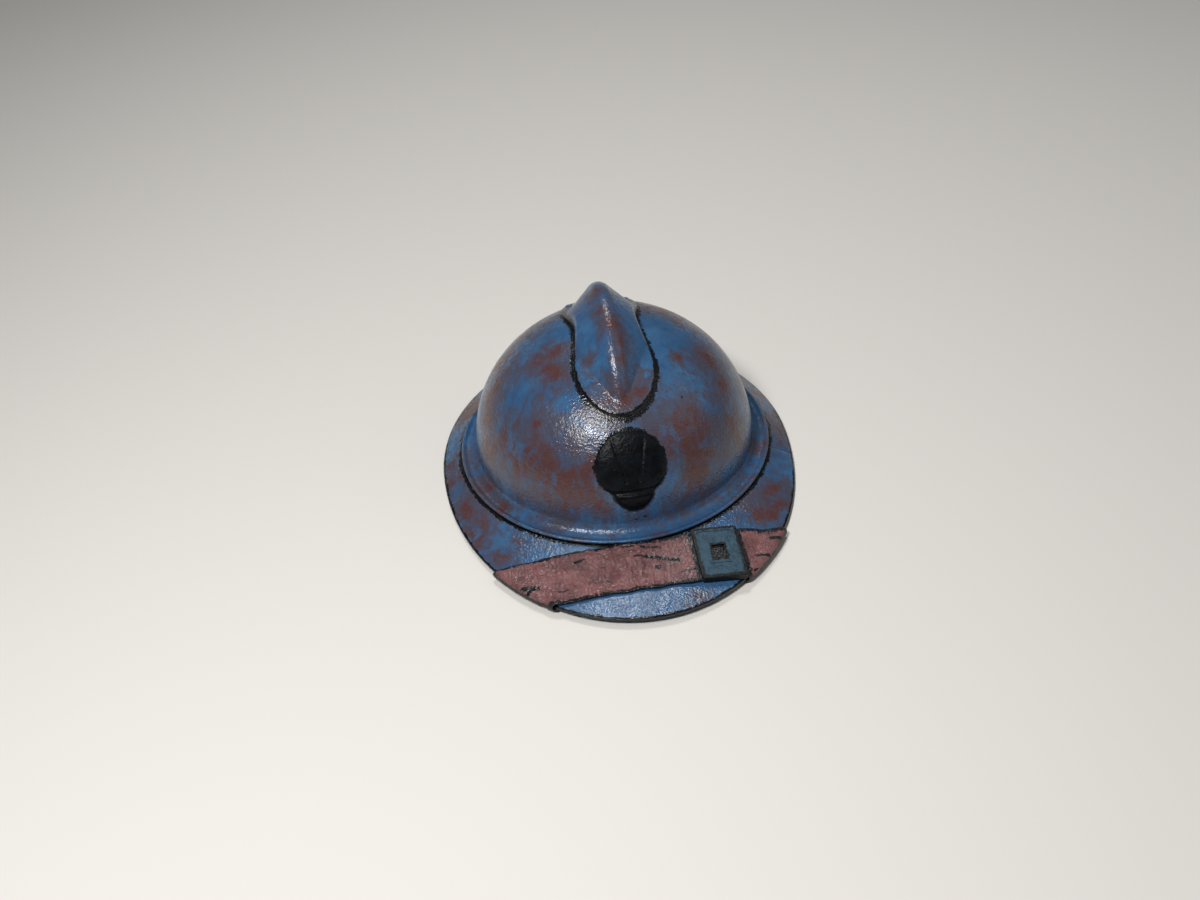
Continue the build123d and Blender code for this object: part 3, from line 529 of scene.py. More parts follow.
def build_bowl():
    """The dome, its flare and the beaded seat ring, inside and out, with the vent slot under the crest."""
    outer = arc(0, 0, 1, 90, 0, 110) * (DOME_WIDE, DOME_RISE) + (0, DOME_WAIST)
    flare = DOME_WAIST - RING_HEIGHT - SHEET
    flare_out = arc(DOME_WIDE + flare, DOME_WAIST, flare, 180, 270, 12)
    bead = arc(RING_WIDE - BEAD, RING_HEIGHT + BEAD, BEAD, 150, -90, 16)
    flare_in = arc(DOME_WIDE + flare, DOME_WAIST, flare + SHEET, 270, 180, 12)
    inner = arc(0, 0, 1, 0, 90, 70) * (DOME_WIDE - SHEET, DOME_RISE - SHEET) + (0, DOME_WAIST)
    profile = np.vstack([outer, flare_out[1:], bead, flare_in, inner[1:]])
    turns = np.linspace(0, 2 * math.pi, 288, endpoint=False)
    shape = (len(turns), len(profile))
    z = np.broadcast_to(profile[:, 1], shape)
    points = oval_place(profile[:, 0], turns[:, None], z).reshape(-1, 3)
    index = np.broadcast_to(np.arange(len(profile)), shape).reshape(-1)
    outside = index < len(outer) + len(flare_out) + len(bead)
    under_bead = (points[:, 2] < RING_HEIGHT + BEAD) & outside & (index > len(outer) + len(flare_out))
    ink = np.where(under_bead, 1.0, 0.0)
    top = outside & (points[:, 2] > 60)
    plan = points[top][:, :2] - (0, CENTRE_Y)
    ink[top] = np.clip(1.0 - near(plan, crest_outline()) / CREST_LINE, 0, 1)
    front = outside & (points[:, 1] < -40) & (points[:, 2] > 24) & (points[:, 2] < 80)
    face = points[front][:, [0, 2]] - (0, BADGE_Z)
    ink[front] = np.maximum(ink[front], np.clip(0.85 - near(face, badge_line()) / BADGE_LINE, 0, 1))
    ink = np.maximum(ink, spread(points, ALL_SPECKS))
    faces = grid_faces(len(turns), len(profile), close_rows=True)
    obj = mesh_object("bowl_shell", points, faces, paint, ink=ink, **stains(points, outside))
    cut_vent(obj)
    return obj


def cut_vent(obj):
    """Cut the vent slot through the crown."""
    half_long, half_wide = 26.0, 4.0
    turn = np.radians(np.linspace(0, 180, 17))
    cap = np.stack([half_wide * np.cos(turn), half_long - half_wide + half_wide * np.sin(turn)], -1)
    loop = np.vstack([cap, -cap])
    count = len(loop)
    ends = [np.column_stack([loop[:, 0], loop[:, 1] + CENTRE_Y, np.full(count, z)]) for z in (90.0, 110.0)]
    faces = [(i, (i + 1) % count, count + (i + 1) % count, count + i) for i in range(count)]
    faces += [tuple(range(count))[::-1], tuple(range(count, 2 * count))]
    cutter = mesh_object("vent_cutter", np.vstack(ends), faces, paint, smooth=False)
    apply_boolean(obj, cutter)


def apply_boolean(obj, cutter):
    """Subtract the cutter from an object for good."""
    modifier = obj.modifiers.new("cut", "BOOLEAN")
    modifier.operation = "DIFFERENCE"
    modifier.solver = "EXACT"
    modifier.object = cutter
    bake_modifiers(obj)
    bpy.data.objects.remove(cutter)


def bake_modifiers(obj):
    """Turn an object's modifiers into its mesh."""
    bpy.context.view_layer.update()
    graph = bpy.context.evaluated_depsgraph_get()
    mesh = bpy.data.meshes.new_from_object(obj.evaluated_get(graph))
    obj.modifiers.clear()
    obj.data = mesh


# Brim

def brim_grid(turns, share, grow):
    """Points of the brim's slope: share 0 at the rim and 1 at the seat ring, grown by a distance."""
    long = np.where(np.sin(turns) > 0, BRIM_REAR, BRIM_FRONT)
    rim = np.stack([(BRIM_WIDE + grow) * np.cos(turns), (long + grow) * np.sin(turns)], -1)
    seat = np.stack([(RING_WIDE + grow) * np.cos(turns), (RING_LONG + grow) * np.sin(turns)], -1)
    return rim + (seat - rim) * share, rim


HEM_ROUNDING = [(0.12, -0.05), (0.35, 0.0), (0.9, 0.0), (HEM - 0.3, 0.0), (HEM - 0.08, -0.08), (HEM, -0.3)]


def build_brim(name, pitch, keep_front):
    """The peak or the neck guard: a sheet from under the seat ring down to a rounded, turned-down hem."""
    turns = np.linspace(0, 2 * math.pi, 480, endpoint=False)
    rows = []
    ink_rows = []

    def row(share, grow, height, ink):
        """One line round the brim; height is z over the pitched floor at the rim, and z at the ring."""
        plan, rim = brim_grid(turns, share, grow)
        floor = (SEAM_Y - CENTRE_Y - rim[:, 1]) * pitch
        low = floor + height[0]
        z = low + (height[1] - low) * share
        rows.append(np.column_stack([plan[:, 0], plan[:, 1] + CENTRE_Y, z]))
        ink_rows.append(np.broadcast_to(ink, turns.shape))

    def flange(wide, z):
        """One line round the opening at a height."""
        plan = np.stack([wide * np.cos(turns), wide * OVAL * np.sin(turns)], -1)
        rows.append(np.column_stack([plan[:, 0], plan[:, 1] + CENTRE_Y, np.full(len(turns), z)]))
        ink_rows.append(np.zeros(len(turns)))

    plan_rim, _ = brim_grid(turns, 0.0, 0.0)
    plan_seat, _ = brim_grid(turns, 1.0, 0.0)
    run = np.linalg.norm(plan_rim - plan_seat, axis=1)
    flange(FLANGE_WIDE, RING_HEIGHT)
    for share in np.linspace(1, 0, 34):
        groove = np.clip(1.1 - (1 - share) * run / GROOVE_LINE, 0, 1)
        edge = np.clip(1.0 - share * run / RIM_LINE, 0, 1)
        row(share, 0.0 if share > 0 else -0.25, (HEM, RING_HEIGHT), np.maximum(groove, edge))
    for drop, grow in HEM_ROUNDING:
        row(0.0, grow, (HEM - drop, RING_HEIGHT), 1.0)
    row(0.0, -SHEET + 0.15, (0.0, RING_HEIGHT), 0.6)
    row(0.0, -SHEET, (0.2, RING_HEIGHT), 0.3)
    for share in np.linspace(0, 1, 16):
        row(share, -SHEET, (HEM - SHEET, RING_HEIGHT - SHEET), 0.0)
    flange(FLANGE_WIDE, RING_HEIGHT - SHEET)
    points = np.stack(rows).reshape(-1, 3)
    ink = np.stack(ink_rows).reshape(-1)
    faces = grid_faces(len(rows), len(turns), close_rows=True, close_cols=True)
    obj = mesh_object(name, points, faces, paint, ink=ink, **stains(points))
    side = -1 if keep_front else 1
    work = bmesh.new()
    work.from_mesh(obj.data)
    everything = work.verts[:] + work.edges[:] + work.faces[:]
    place = (0, (SEAM_Y + side * SEAM_GAP / 2) * MM, 0)
    away = (0, -side, 0)
    cut = bmesh.ops.bisect_plane(work, geom=everything, plane_co=place, plane_no=away, clear_outer=True)
    edges = [e for e in cut["geom_cut"] if isinstance(e, bmesh.types.BMEdge)]
    bmesh.ops.holes_fill(work, edges=edges)
    bmesh.ops.recalc_face_normals(work, faces=work.faces)
    work.to_mesh(obj.data)
    work.free()
    return obj


# Crest

def build_comb():
    """The crest as one pressed sheet: a round-edged foot that flows up into a hollow ridge."""
    rows, cols = 210, 111
    y = CREST_LONG * np.sin(np.linspace(-math.pi / 2, math.pi / 2, rows))
    v = np.sin(np.linspace(-math.pi / 2, math.pi / 2, cols))
    yy, vv = np.meshgrid(y, v, indexing="ij")
    xx = vv * crest_half_width(yy)
    base = dome_z(xx, yy)
    edge = np.minimum(crest_half_width(yy) - np.abs(xx), CREST_LONG - np.abs(yy)) / FOOT_ROUNDING
    rounding = np.sqrt(1 - (1 - np.clip(edge, 0, 1)) ** 2)
    foot = dome_z(xx, yy, FOOT_RISE)
    ridge = ridge_z(xx, yy)
    skin = (foot + ridge + np.sqrt((foot - ridge) ** 2 + FOOT_BLEND**2)) / 2 - 0.1
    seat = dome_z(xx, yy, FOOT_SEAT)
    low = np.where(edge < 0.5, seat, np.maximum(seat, ridge_z(xx, yy, 1.0)))
    high = base + 0.5 + (skin - base - 0.5) * rounding
    top = np.stack([xx, yy + CENTRE_Y, np.maximum(high, low + FOOT_SEAT)], -1).reshape(-1, 3)
    under = np.stack([xx, yy + CENTRE_Y, low], -1).reshape(-1, 3)
    points = np.vstack([top, under])
    count = rows * cols
    faces = grid_faces(rows, cols)
    faces += [tuple(count + i for i in f[::-1]) for f in faces]
    border = list(range(cols)) + [i * cols + cols - 1 for i in range(1, rows)]
    border += [(rows - 1) * cols + j for j in range(cols - 2, -1, -1)]
    border += [i * cols for i in range(rows - 2, 0, -1)]
    faces += [(a, b, count + b, count + a) for a, b in zip(border, border[1:] + border[:1])]
    gap = near(np.stack([xx, yy], -1).reshape(-1, 2), crest_outline())
    ink = np.concatenate([np.clip(1.1 - gap / FOOT_LINE, 0, 1), np.zeros(count)])
    return mesh_object("comb_skin", points, faces, paint, ink=ink, **stains(points))


# Badge

def build_badge():
    """A plain flame over a ball, as a domed plate that follows the bowl's front."""
    outline = badge_line()
    count = len(outline)
    inner = np.linspace(0.9, 0.0, 45)
    shares = np.concatenate([[1.0, 1.0, 0.985, 0.955], inner])
    rises = np.concatenate([[0.2, 1.0, 1.4, 1.7], 2.0 + 0.6 * np.sqrt(1 - (inner / 0.9) ** 4)])
    rings = []
    for share, rise in zip(shares, rises):
        x = outline[:, 0] * share
        z = BADGE_Z + outline[:, 1] * share
        lobe = 0.7 * np.exp(-((x / 7.5) ** 2 + ((z - BADGE_Z + BADGE_BALL) / 5.0) ** 2))
        furrow = 1.0 * np.exp(-(((z - BADGE_Z + BADGE_NECK) / 1.2) ** 2))
        beside = np.abs(x) - 5.5 - 0.25 * (z - BADGE_Z)
        tongues = 0.5 * np.exp(-(beside**2)) * (z > BADGE_Z - 6) * (rise > 1.6)
        lip = 0.7 * np.exp(-(((z - BADGE_Z + BADGE_LIP) / 0.9) ** 2)) * (np.abs(x) < 10)
        lift = rise + (lobe + lip - furrow - tongues) * (rise > 1.2)
        left = 1 - (x / DOME_WIDE) ** 2 - ((z - DOME_WAIST) / DOME_RISE) ** 2
        y = -DOME_LONG * np.sqrt(left)
        normal = np.stack([x / DOME_WIDE**2, y / DOME_LONG**2, (z - DOME_WAIST) / DOME_RISE**2], -1)
        normal /= np.linalg.norm(normal, axis=1, keepdims=True)
        rings.append(np.stack([x, y + CENTRE_Y, z], -1) + normal * lift[:, None])
    points = np.stack(rings).reshape(-1, 3)
    faces = grid_faces(len(rings), count, close_cols=True)
    faces.append(tuple(range(count))[::-1])
    return mesh_object("badge_plate", points, faces, badge_paint)


# Strap

def floor_z(y):
    """Height of the peak's pitched floor."""
    return (SEAM_Y - y) * PITCH


def brim_reach(y):
    """Half width of the brim at a place ahead of its widest line."""
    return BRIM_WIDE * math.sqrt(1 - ((y - CENTRE_Y) / BRIM_FRONT) ** 2)


def peak_z(x, y, grow):
    """Height of the peak's top face, grown, by halving the range of its slope lines."""
    low, high = 0.0, 1.0
    for _ in range(30):
        share = (low + high) / 2
        wide = grow + BRIM_WIDE + (RING_WIDE - BRIM_WIDE) * share
        long = grow + BRIM_FRONT + (RING_LONG - BRIM_FRONT) * share
        if (x / wide) ** 2 + ((y - CENTRE_Y) / long) ** 2 < 1:
            low = share
        else:
            high = share
    rim_y = CENTRE_Y + (y - CENTRE_Y) * (BRIM_FRONT + grow) / long
    rim = floor_z(rim_y) + HEM + grow
    return rim + (RING_HEIGHT + grow - rim) * share


RING_X, RING_BAR_Y, RING_Z = 98.0, CENTRE_Y - 21.0, 6.2
NECK_Y, LAP_END_Y = RING_BAR_Y - 10.0, RING_BAR_Y - 34.0
RAMP_Y, RAMP_Z = STRAP_REAR + 46.8, 1.6
LOOP_RADIUS = 1.25 + 0.1 + STRAP_THICK / 2
NECK_HALF, FOLD_REACH, STRAP_LIFT, SLIDE_LIFT = 6.0, 3.5, 1.15, 1.25
# The leather's lumps, most of them on its wrinkled stretch, its black lining, and how far the black painted
# shade under the slide reaches
COARSE_LUMP, FINE_LUMP, CALM_LUMPS, WRINKLED_LUMPS = 4.2, 1.9, 0.10, 0.85
WRINKLES_AT, WRINKLES_REACH = -30.0, 38.0
EDGE_ROUNDING, EDGE_LINE = 0.9, 3.6
SLIDE_SIDE, SLIDE_LINE, SLIDE_SHADE_REACH = 15.5, 1.6, 13
FOLD_LINE_TOP, FOLD_LINE_SOFT = 6.4, 1.2
SEAM_AT, SEAM_REACH, SEAM_WIDE = 52, 56, 4.0


def strap_half(side, width):
    """Middle line points of one half of the strap, from the middle of the front to the end of its lap."""
    y = STRAP_FRONT + (STRAP_REAR - STRAP_FRONT) * width
    reach = brim_reach(y)
    line = []
    for share in np.linspace(0, 1, 150):
        x = side * (reach - 1.0) * share
        near_slide = math.exp(-(((x - SLIDE_AT[0]) / 24.0) ** 4))
        near_edge = max(0.0, (abs(x) - reach + 14) / 14)
        grow = STRAP_LIFT + SLIDE_LIFT * max(near_slide, min(near_edge, 1.0))
        line.append((x, y, peak_z(x, y, grow)))
    top = line[-1][2]
    bottom = floor_z(y) - 0.3 - STRAP_THICK / 2
    half = (top - bottom) / 2
    for turn in np.radians(np.linspace(75, -90, 10)):
        px = side * (reach - 1.0 + FOLD_REACH * math.cos(turn))
        line.append((px, y, bottom + half + half * math.sin(turn)))
    start = np.array([side * (reach - 3.0), y, bottom])
    end_x = side * (RING_X - NECK_HALF + 2 * NECK_HALF * width)
    for share in np.linspace(0.03, 1, 16):
        py = y + (NECK_Y - y) * share
        px = start[0] + (end_x - start[0]) * share
        pz = lower_face(py, y, bottom - STRAP_THICK / 2) + STRAP_THICK / 2
        line.append((px, py, pz))
    for turn in np.radians(np.linspace(-110, 110, 15)):
        py = RING_BAR_Y + LOOP_RADIUS * math.cos(turn)
        line.append((end_x, py, RING_Z + LOOP_RADIUS * math.sin(turn)))
    for py in np.linspace(NECK_Y, LAP_END_Y, 8):
        pz = lower_face(py, y, 0.0) + 1.5 * STRAP_THICK
        line.append((end_x, py, pz))
    return np.array(line)


def lower_face(py, start_y, start_z):
    """Height of the strap's lower face on its way back to the ring."""
    end_z = RING_Z - STRAP_THICK
    if py < RAMP_Y:
        share = (py - start_y) / (RAMP_Y - start_y)
        return start_z + (RAMP_Z - start_z) * share
    return RAMP_Z + (end_z - RAMP_Z) * (py - RAMP_Y) / (NECK_Y - RAMP_Y)


def strap_lining(points, edge):
    """Ink on the strap: edges, strokes, beside the slide, the fold's foot and the rear seam; under the slide
    the strap is painted black as painted shade, so that the slide's window shows dark.
    """
    ahead = points[:, 1] < STRAP_REAR + 1
    ink = np.clip(1.0 - edge / EDGE_LINE, 0, 1)
    for x, y, long, wide, lean in STROKES:
        across = (points[:, 1] - CENTRE_Y - y - lean * (points[:, 0] - x)) / wide
        stroke = np.exp(-(((points[:, 0] - x) / long) ** 4) - across**4)
        ink = np.maximum(ink, np.where(points[:, 2] > RING_Z, stroke, 0))
    from_slide = np.abs(points[:, 0] - SLIDE_AT[0])
    beside = np.abs(from_slide - SLIDE_SIDE) / SLIDE_LINE
    ink = np.maximum(ink, np.where(ahead, np.exp(-(beside**4)), 0))
    # Painted shade: the strap is black under the slide, where it is seen through the slide's window.
    ink = np.where((from_slide < SLIDE_SHADE_REACH) & ahead, 1.0, ink)
    far = (points[:, 1] - CENTRE_Y) / BRIM_FRONT
    from_edge = BRIM_WIDE * np.sqrt(1 - far**2) - np.abs(points[:, 0])
    low_fold = (from_edge < 0.5) * np.clip((FOLD_LINE_TOP - points[:, 2]) / FOLD_LINE_SOFT, 0, 1)
    ink = np.maximum(ink, ahead * low_fold)
    seam = np.exp(-(((STRAP_REAR - points[:, 1]) / SEAM_WIDE) ** 2))
    seam = seam * np.exp(-(((points[:, 0] - SEAM_AT) / SEAM_REACH) ** 6))
    return np.maximum(ink, 0.95 * ahead * seam)


def build_strap():
    """The chinstrap as one leather band from ring to ring over the peak."""
    widths = np.sin(np.linspace(-math.pi / 2, math.pi / 2, 57)) / 2 + 0.5
    rows = []
    for width in widths:
        right = strap_half(1, width)
        left = strap_half(-1, width)
        rows.append(np.vstack([left[::-1], right[1:]]))
    middle = np.stack(rows)
    length = middle.shape[1]
    normal = np.cross(np.gradient(middle, axis=1), np.gradient(middle, axis=0))
    normal /= np.linalg.norm(normal, axis=-1, keepdims=True)
    edge = np.minimum(widths, 1 - widths) * (STRAP_REAR - STRAP_FRONT)
    rounding = np.sqrt(np.clip(1 - (1 - np.clip(edge / EDGE_ROUNDING, 0, 1)) ** 2, 0, 1)) * 0.75 + 0.25
    thick = STRAP_THICK / 2 * rounding[:, None, None]

    def lump(place):
        """A coarse and a fine swell of the leather at a place."""
        return field.noise(Vector(place) / COARSE_LUMP) + 0.7 * field.noise(Vector(place) / FINE_LUMP)

    lumps = np.array([[lump(place) for place in row] for row in middle])
    ahead = middle[..., 1] < STRAP_REAR + 1
    wrinkled = np.exp(-(((middle[..., 0] - WRINKLES_AT) / WRINKLES_REACH) ** 4)) * ahead
    lumpy = CALM_LUMPS + WRINKLED_LUMPS * wrinkled
    x = middle[..., 0]
    wobble = 0.5 * np.sin(x * 0.23 + 1.7 * np.sin(x * 0.071)) * (2 * widths[:, None] - 1) ** 3
    middle[..., 1] += np.where(ahead, np.minimum(wobble, 0.3), 0)
    top = middle + normal * (thick + (lumps * lumpy)[..., None])
    low = middle - normal * thick
    loop = np.concatenate([top, low[::-1]], axis=0)
    from_side = np.broadcast_to(np.concatenate([edge, edge[::-1]])[:, None], loop.shape[:2]).reshape(-1)
    points = loop.reshape(-1, 3)
    faces = grid_faces(loop.shape[0], length, close_rows=True)
    faces.append(tuple(i * length for i in range(loop.shape[0])))
    faces.append(tuple(i * length + length - 1 for i in range(loop.shape[0]))[::-1])
    gloss = np.concatenate([wrinkled, wrinkled[::-1]], axis=0).reshape(-1)
    ink = strap_lining(points, from_side)
    return mesh_object("strap_band", points, faces, strap_leather, ink=ink, gloss=gloss)


# Liner

SLIT_LOW, SLIT_HIGH, SLIT_HALF = 39.6, 41.2, 5.4
# The stitches: two rows round the band, the upper one broken at the lugs, and a row in each hem
HEM_ROW, SEAM_ROW, BAND_STITCHES, LUG_TURN = 18.2, 41.9, 118, 0.085
TONGUE_ROW, TONGUE_STITCHES, TONGUE_TURN = 30.0, 6, 0.27


def band_folds(turn, height):
    """The band's soft swell between its lugs and the waves of its lower edge."""
    swell = -0.55 * np.sin(height * math.pi) * (1 - np.cos(8 * turn)) / 2
    wave = -0.25 * (1 + np.sin(23 * turn + 1.3 * np.sin(5 * turn))) * (1 - height) ** 2
    return swell, wave


def build_band():
    """The leather head band: a round-edged strip with a soft swell, and slits for the steel lugs."""
    edge = LEATHER / 2
    low = arc(BAND_WIDE - edge, BAND_LOW + edge, edge, 0, -180, 9)
    high = arc(BAND_WIDE - edge, BAND_HIGH - edge, edge, 180, 0, 9)
    rise = np.linspace(BAND_LOW + edge, BAND_HIGH - edge, 14)[1:-1]
    inner = np.column_stack([np.full(12, BAND_WIDE - LEATHER), rise])
    outer = np.column_stack([np.full(12, BAND_WIDE), rise[::-1]])
    profile = np.vstack([low, inner, high, outer])
    turns = np.linspace(0, 2 * math.pi, 420, endpoint=False)
    height = (profile[:, 1] - BAND_LOW) / (BAND_HIGH - BAND_LOW)
    swell, wave = band_folds(turns[:, None], height[None, :])
    reach = profile[:, 0][None, :] + swell + wave
    z = np.broadcast_to(profile[:, 1][None, :], reach.shape)
    points = oval_place(reach, turns[:, None], z).reshape(-1, 3)
    sheet = grid_faces(len(turns), len(profile), close_rows=True, close_cols=True)
    obj = mesh_object("band_leather", points, sheet, liner_leather)
    corners = []
    faces = []
    for turn in range(4):
        lean = Matrix.Rotation(turn * math.pi / 2, 3, "Z")
        start = len(corners)
        for z in (SLIT_LOW, SLIT_HIGH):
            for x, y in ((70, -SLIT_HALF), (100, -SLIT_HALF), (100, SLIT_HALF), (70, SLIT_HALF)):
                place = lean @ Vector((x, y, z))
                corners.append((place.x, place.y + CENTRE_Y, place.z))
        for f in ((3, 2, 1, 0), (4, 5, 6, 7), (0, 1, 5, 4), (1, 2, 6, 5), (2, 3, 7, 6), (3, 0, 4, 7)):
            faces.append(tuple(start + i for i in f))
    apply_boolean(obj, mesh_object("slit_cutter", corners, faces, liner_leather, smooth=False))
    return obj


def liner_z(reach, inset):
    """Height of a tongue's face at a reach, inset from its outer face."""
    wide = BAND_WIDE - inset
    return BAND_HIGH + (LINER_RISE - inset) * np.sqrt(np.maximum(1 - (reach / wide) ** 2, 0))


def tongue_section():
    """A tongue's section by reach and height: up outside, round the hem's tunnel and down inside."""
    lift = np.linspace(0, math.acos(LACE_REACH / BAND_WIDE), 34)
    outer = np.column_stack([BAND_WIDE * np.cos(lift), BAND_HIGH + LINER_RISE * np.sin(lift)])
    hem_radius = HEM_BORE + HEM_LEATHER
    centre = liner_z(LACE_REACH, 0) - hem_radius
    roll = arc(LACE_REACH, centre, hem_radius, 96, 300, 14)
    reach = np.linspace(27.6, 32.0, 5)
    under = np.column_stack([reach, liner_z(reach, LEATHER + HEM_LEATHER)])
    end = [(32.6, liner_z(32.6, LEATHER + 0.9)), (32.6, liner_z(32.6, LEATHER + 0.3))]
    over = np.column_stack([reach[::-1], liner_z(reach[::-1], LEATHER + 0.06)])
    bore = arc(LACE_REACH, centre, HEM_BORE, 315, 85, 12)
    lift = np.linspace(math.acos(25.0 / (BAND_WIDE - LEATHER)), 0, 32)
    inner_z = BAND_HIGH + (LINER_RISE - LEATHER) * np.sin(lift)
    inner = np.column_stack([(BAND_WIDE - LEATHER) * np.cos(lift), inner_z])
    return np.vstack([outer[:-1], roll, under, end, over, bore, inner])


def build_tongue(number):
    """One leather tongue from the band to the crown, its tip folded over the lace."""
    section = tongue_section()
    middle = math.pi / 2 + (number - 1) * 2 * math.pi / TONGUES
    shares = np.concatenate([[-1], np.linspace(-0.97, 0.97, 23), [1]])
    reach = section[:, 0]
    notch = np.where(reach < 70, 0.6 + 3.9 * (1 - reach / 70), 0.6)
    half = math.pi / TONGUES - notch / reach
    turn = middle + shares[:, None] * half[None, :]
    climb = np.clip((section[:, 1] - BAND_HIGH) / LINER_RISE, 0, 1)
    free = np.sin(climb * math.pi)
    sag = -0.9 * np.cos(shares * 2.4)[:, None] * free[None, :]
    crease = 0.35 * np.sin(9 * shares[:, None] + 6 * climb[None, :] + number) * free[None, :]
    shift = sag + crease
    normal_r, normal_z = reach / BAND_WIDE, (section[:, 1] - BAND_HIGH) / LINER_RISE
    points = oval_place(reach[None, :] + shift * normal_r, turn, section[:, 1][None, :] + shift * normal_z)
    faces = grid_faces(len(shares), len(section), close_cols=True)
    faces.append(tuple(range(len(section))))
    faces.append(tuple((len(shares) - 1) * len(section) + i for i in range(len(section)))[::-1])
    obj = mesh_object(f"tongue_leather_{number}", points.reshape(-1, 3), faces, liner_leather)
    bevel = obj.modifiers.new("soft_edge", "BEVEL")
    bevel.width = 0.35 * MM
    bevel.segments = 2
    bevel.limit_method = "ANGLE"
    bevel.angle_limit = math.radians(60)
    bake_modifiers(obj)
    return obj


def tube_mesh(path, radius, sides, closed):
    """Points and faces of a round tube along a path."""
    count = len(path)
    ahead = np.roll(path, -1, axis=0) - np.roll(path, 1, axis=0) if closed else np.gradient(path, axis=0)
    ahead /= np.linalg.norm(ahead, axis=1, keepdims=True)
    side = np.cross(ahead, (0.13, 0.21, 0.97))
    side /= np.linalg.norm(side, axis=1, keepdims=True)
    up = np.cross(side, ahead)
    t = np.linspace(0, 2 * math.pi, sides, endpoint=False)
    ring = radius * (np.cos(t)[None, :, None] * side[:, None, :] + np.sin(t)[None, :, None] * up[:, None, :])
    points = (path[:, None, :] + ring).reshape(-1, 3)
    faces = grid_faces(count, sides, close_rows=closed, close_cols=True)
    if not closed:
        faces += [tuple(range(sides)), tuple((count - 1) * sides + i for i in range(sides))[::-1]]
    return points, faces


def join_parts(name, parts, material):
    """One object from many lists of points and faces."""
    points = []
    faces = []
    start = 0
    for part_points, part_faces in parts:
        points.append(part_points)
        faces += [tuple(start + i for i in f) for f in part_faces]
        start += len(part_points)
    return mesh_object(name, np.vstack(points), faces, material)


def build_lace():
    """Three twisted strands through the hems, with a small knot between two tongues."""
    centre = liner_z(LACE_REACH, 0) - HEM_BORE - HEM_LEATHER
    t = np.linspace(0, 2 * math.pi, 720, endpoint=False)
    parts = []
    for strand in range(3):
        twist = 30 * t + strand * 2 * math.pi / 3
        reach = LACE_REACH + 0.5 * np.cos(twist)
        path = np.stack([reach * np.cos(t), CENTRE_Y + reach * np.sin(t), centre + 0.5 * np.sin(twist)], -1)
        parts.append(tube_mesh(path, 0.56, 8, True))
    turn = math.pi / 2 + math.pi / TONGUES
    k = np.linspace(0, 2 * math.pi, 120, endpoint=False)
    ahead = np.array([-math.sin(turn), math.cos(turn), 0])
    out = np.array([math.cos(turn), math.sin(turn), 0])
    up = np.array([0, 0, 1.0])
    wide = 1.15 + 0.45 * np.cos(3 * k)
    knot = (wide * np.cos(2 * k))[:, None] * ahead + (wide * np.sin(2 * k))[:, None] * up
    knot = knot + (0.6 * np.sin(3 * k))[:, None] * out
    middle = np.array([LACE_REACH * math.cos(turn), CENTRE_Y + LACE_REACH * math.sin(turn), centre])
    parts.append(tube_mesh(middle + knot, 0.6, 8, True))
    return join_parts("lace_twist", parts, cord_fibre)


def stitch(start, end, normal):
    """One short thread between two places, bowed out of the leather."""
    t = np.linspace(0, 1, 7)[:, None]
    path = start + (end - start) * t + normal * (0.32 * np.sin(math.pi * t) - 0.08)
    return tube_mesh(path, 0.28, 6, False)


def build_stitches():
    """Waxed thread along the band's lower edge, its top seam and each tongue's hem."""
    parts = []
    for z in (HEM_ROW, SEAM_ROW):
        for i in range(BAND_STITCHES):
            turn = np.array([(i + 0.18) / BAND_STITCHES, (i + 0.80) / BAND_STITCHES]) * 2 * math.pi
            if abs(math.remainder(turn.mean(), math.pi / 2)) < LUG_TURN and z == SEAM_ROW:
                continue
            swell, wave = band_folds(turn, (z - BAND_LOW) / (BAND_HIGH - BAND_LOW))
            ends = oval_place(BAND_WIDE - LEATHER + swell + wave, turn, np.full(2, z))
            normal = -np.array([math.cos(turn.mean()), math.sin(turn.mean()), 0])
            parts.append(stitch(ends[0], ends[1], normal))
    for number in range(1, TONGUES + 1):
        middle = math.pi / 2 + (number - 1) * 2 * math.pi / TONGUES
        for i in range(TONGUE_STITCHES):
            share = (np.array([i + 0.15, i + 0.85]) / TONGUE_STITCHES * 2 - 1) * TONGUE_TURN
            climb = (liner_z(TONGUE_ROW, 0) - BAND_HIGH) / LINER_RISE
            sag = -0.9 * np.cos(share / 0.32 * 2.4) * math.sin(climb * math.pi)
            z = liner_z(TONGUE_ROW, LEATHER + HEM_LEATHER) + sag * 0.9
            ends = oval_place(TONGUE_ROW, middle + share, z)
            parts.append(stitch(ends[0], ends[1], np.array([0, 0, -1.0])))
    return join_parts("liner_stitches", parts, cord_fibre)


def dress(obj, body, slot, *replaced):
    """Make a piece ride on a body and stand for CAD nodes; the slot is not used."""
    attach(obj, body)
    if replaced:
        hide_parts(*replaced)


dress(build_bowl(), "helmet", "helmet_paint", "bowl")
dress(build_brim("peak_shell", PITCH, True), "helmet", "helmet_paint", "peak")
dress(build_brim("neck_guard_shell", 0.0, False), "helmet", "helmet_paint", "neck_guard")
dress(build_comb(), "helmet", "helmet_paint", "comb")
dress(build_badge(), "helmet", "badge_black", "badge")
dress(build_strap(), "strap", "strap_leather", "chinstrap")
dress(build_band(), "helmet", "liner_leather", "liner_band")
for number in range(1, TONGUES + 1):
    dress(build_tongue(number), "helmet", "liner_leather", f"liner_tongue_{number}")
dress(build_lace(), "helmet", "lace_cord", "liner_lace")
dress(build_stitches(), "helmet", "lace_cord")

looks = {
    "helmet_paint": paint, "badge_black": badge_paint, "buckle_paint": buckle_paint, "bare_steel": steel,
    "corrugated_aluminium": aluminium, "strap_leather": strap_leather, "liner_leather": liner_leather,
    "lace_cord": cord_fibre,
}
for part in frame["record"]["subparts"]:
    mesh = nodes[part["node"]].data
    mesh.materials.clear()
    mesh.materials.append(looks[part["material_slot"]])


# Floor, lights and camera

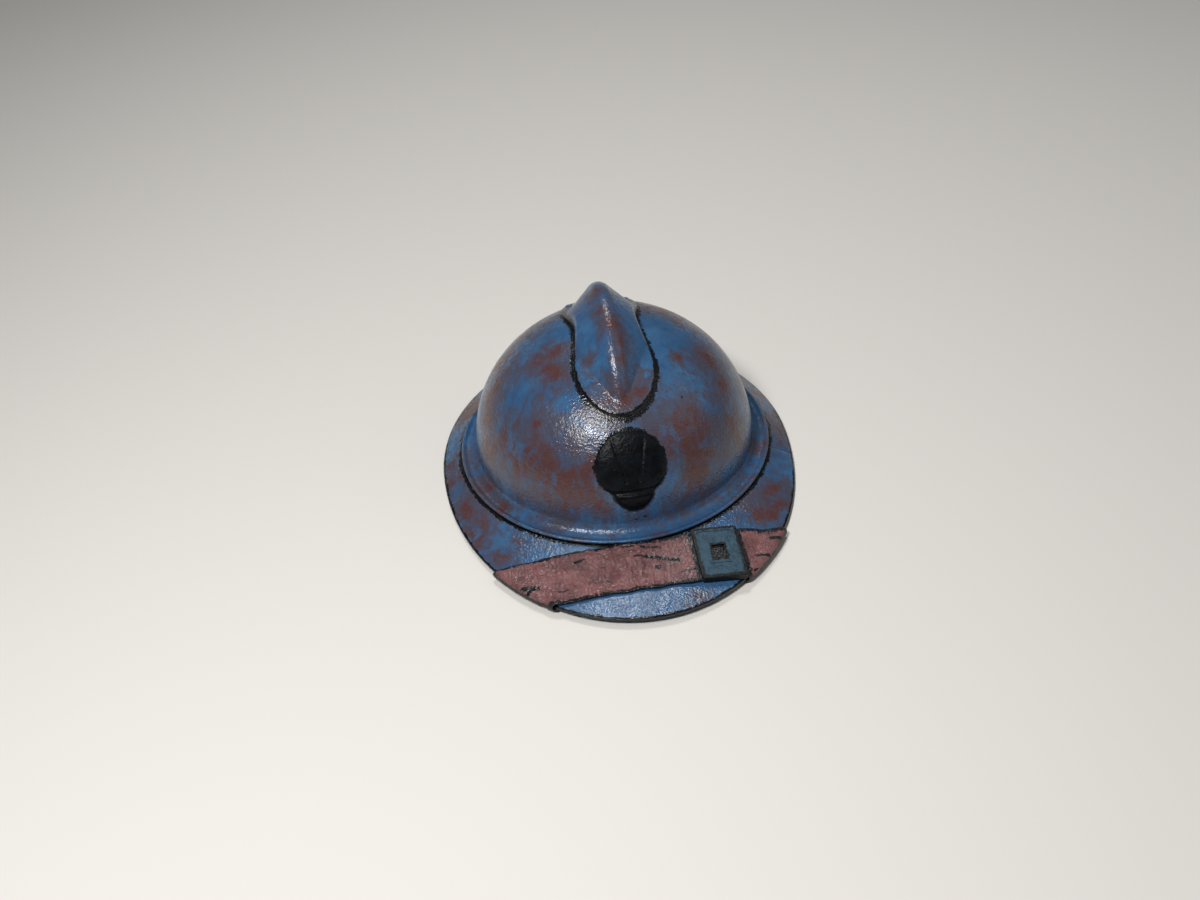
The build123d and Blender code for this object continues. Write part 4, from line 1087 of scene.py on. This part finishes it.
def build_stage():
    """A plain pale floor under the helmet and a pale world."""
    mesh = bpy.data.meshes.new("floor")
    reach = 6.0
    corners = [(-reach, -reach, 0), (reach, -reach, 0), (reach, reach, 0), (-reach, reach, 0)]
    mesh.from_pydata(corners, [], [(0, 1, 2, 3)])
    material, shader, _ = new_material("floor")
    feed(shader, Base_Color=(0.80, 0.77, 0.72, 1), Roughness=0.7)
    mesh.materials.append(material)
    floor = bpy.data.objects.new("floor", mesh)
    bpy.context.scene.collection.objects.link(floor)
    world = bpy.data.worlds.new("studio")
    world.use_nodes = True
    feed(world.node_tree.nodes["Background"], Color=(0.92, 0.95, 1.0, 1), Strength=0.10)
    bpy.context.scene.world = world


def lamp(name, place, target, size, power, colour=(1, 1, 1)):
    """A soft square lamp that faces a target."""
    data = bpy.data.lights.new(name, "AREA")
    data.size = size
    data.energy = power
    data.color = colour
    obj = bpy.data.objects.new(name, data)
    obj.location = place
    obj.rotation_euler = (Vector(target) - Vector(place)).to_track_quat("-Z", "Y").to_euler()
    bpy.context.scene.collection.objects.link(obj)


def build_camera():
    """The photograph's view: about 38 degrees above the table and a little to the left of the front."""
    data = bpy.data.cameras.new("camera")
    data.sensor_width = 36.0
    data.lens = 39.0
    data.clip_end = 50.0
    obj = bpy.data.objects.new("camera", data)
    right = Vector((0.98776, -0.13986, -0.06899))
    up = Vector((0.14040, 0.60494, 0.78380))
    back = Vector((-0.06789, -0.78389, 0.61717))
    turn = Matrix((right, up, back)).transposed().to_4x4()
    obj.matrix_world = Matrix.Translation((-0.0721, -0.6926, 0.5613)) @ turn
    bpy.context.scene.collection.objects.link(obj)
    bpy.context.scene.camera = obj


build_stage()
lamp("key", (-0.39, -0.57, 0.985), (0, -0.03, 0.07), 0.24, 10.0)
lamp("fill", (1.2, -0.3, 1.1), (0, 0, 0.05), 1.2, 2.2)
lamp("back", (0.05, 0.80, 1.50), (0, -0.05, 0.03), 0.32, 8.0)
build_camera()
bpy.context.scene.view_settings.view_transform = "Standard"
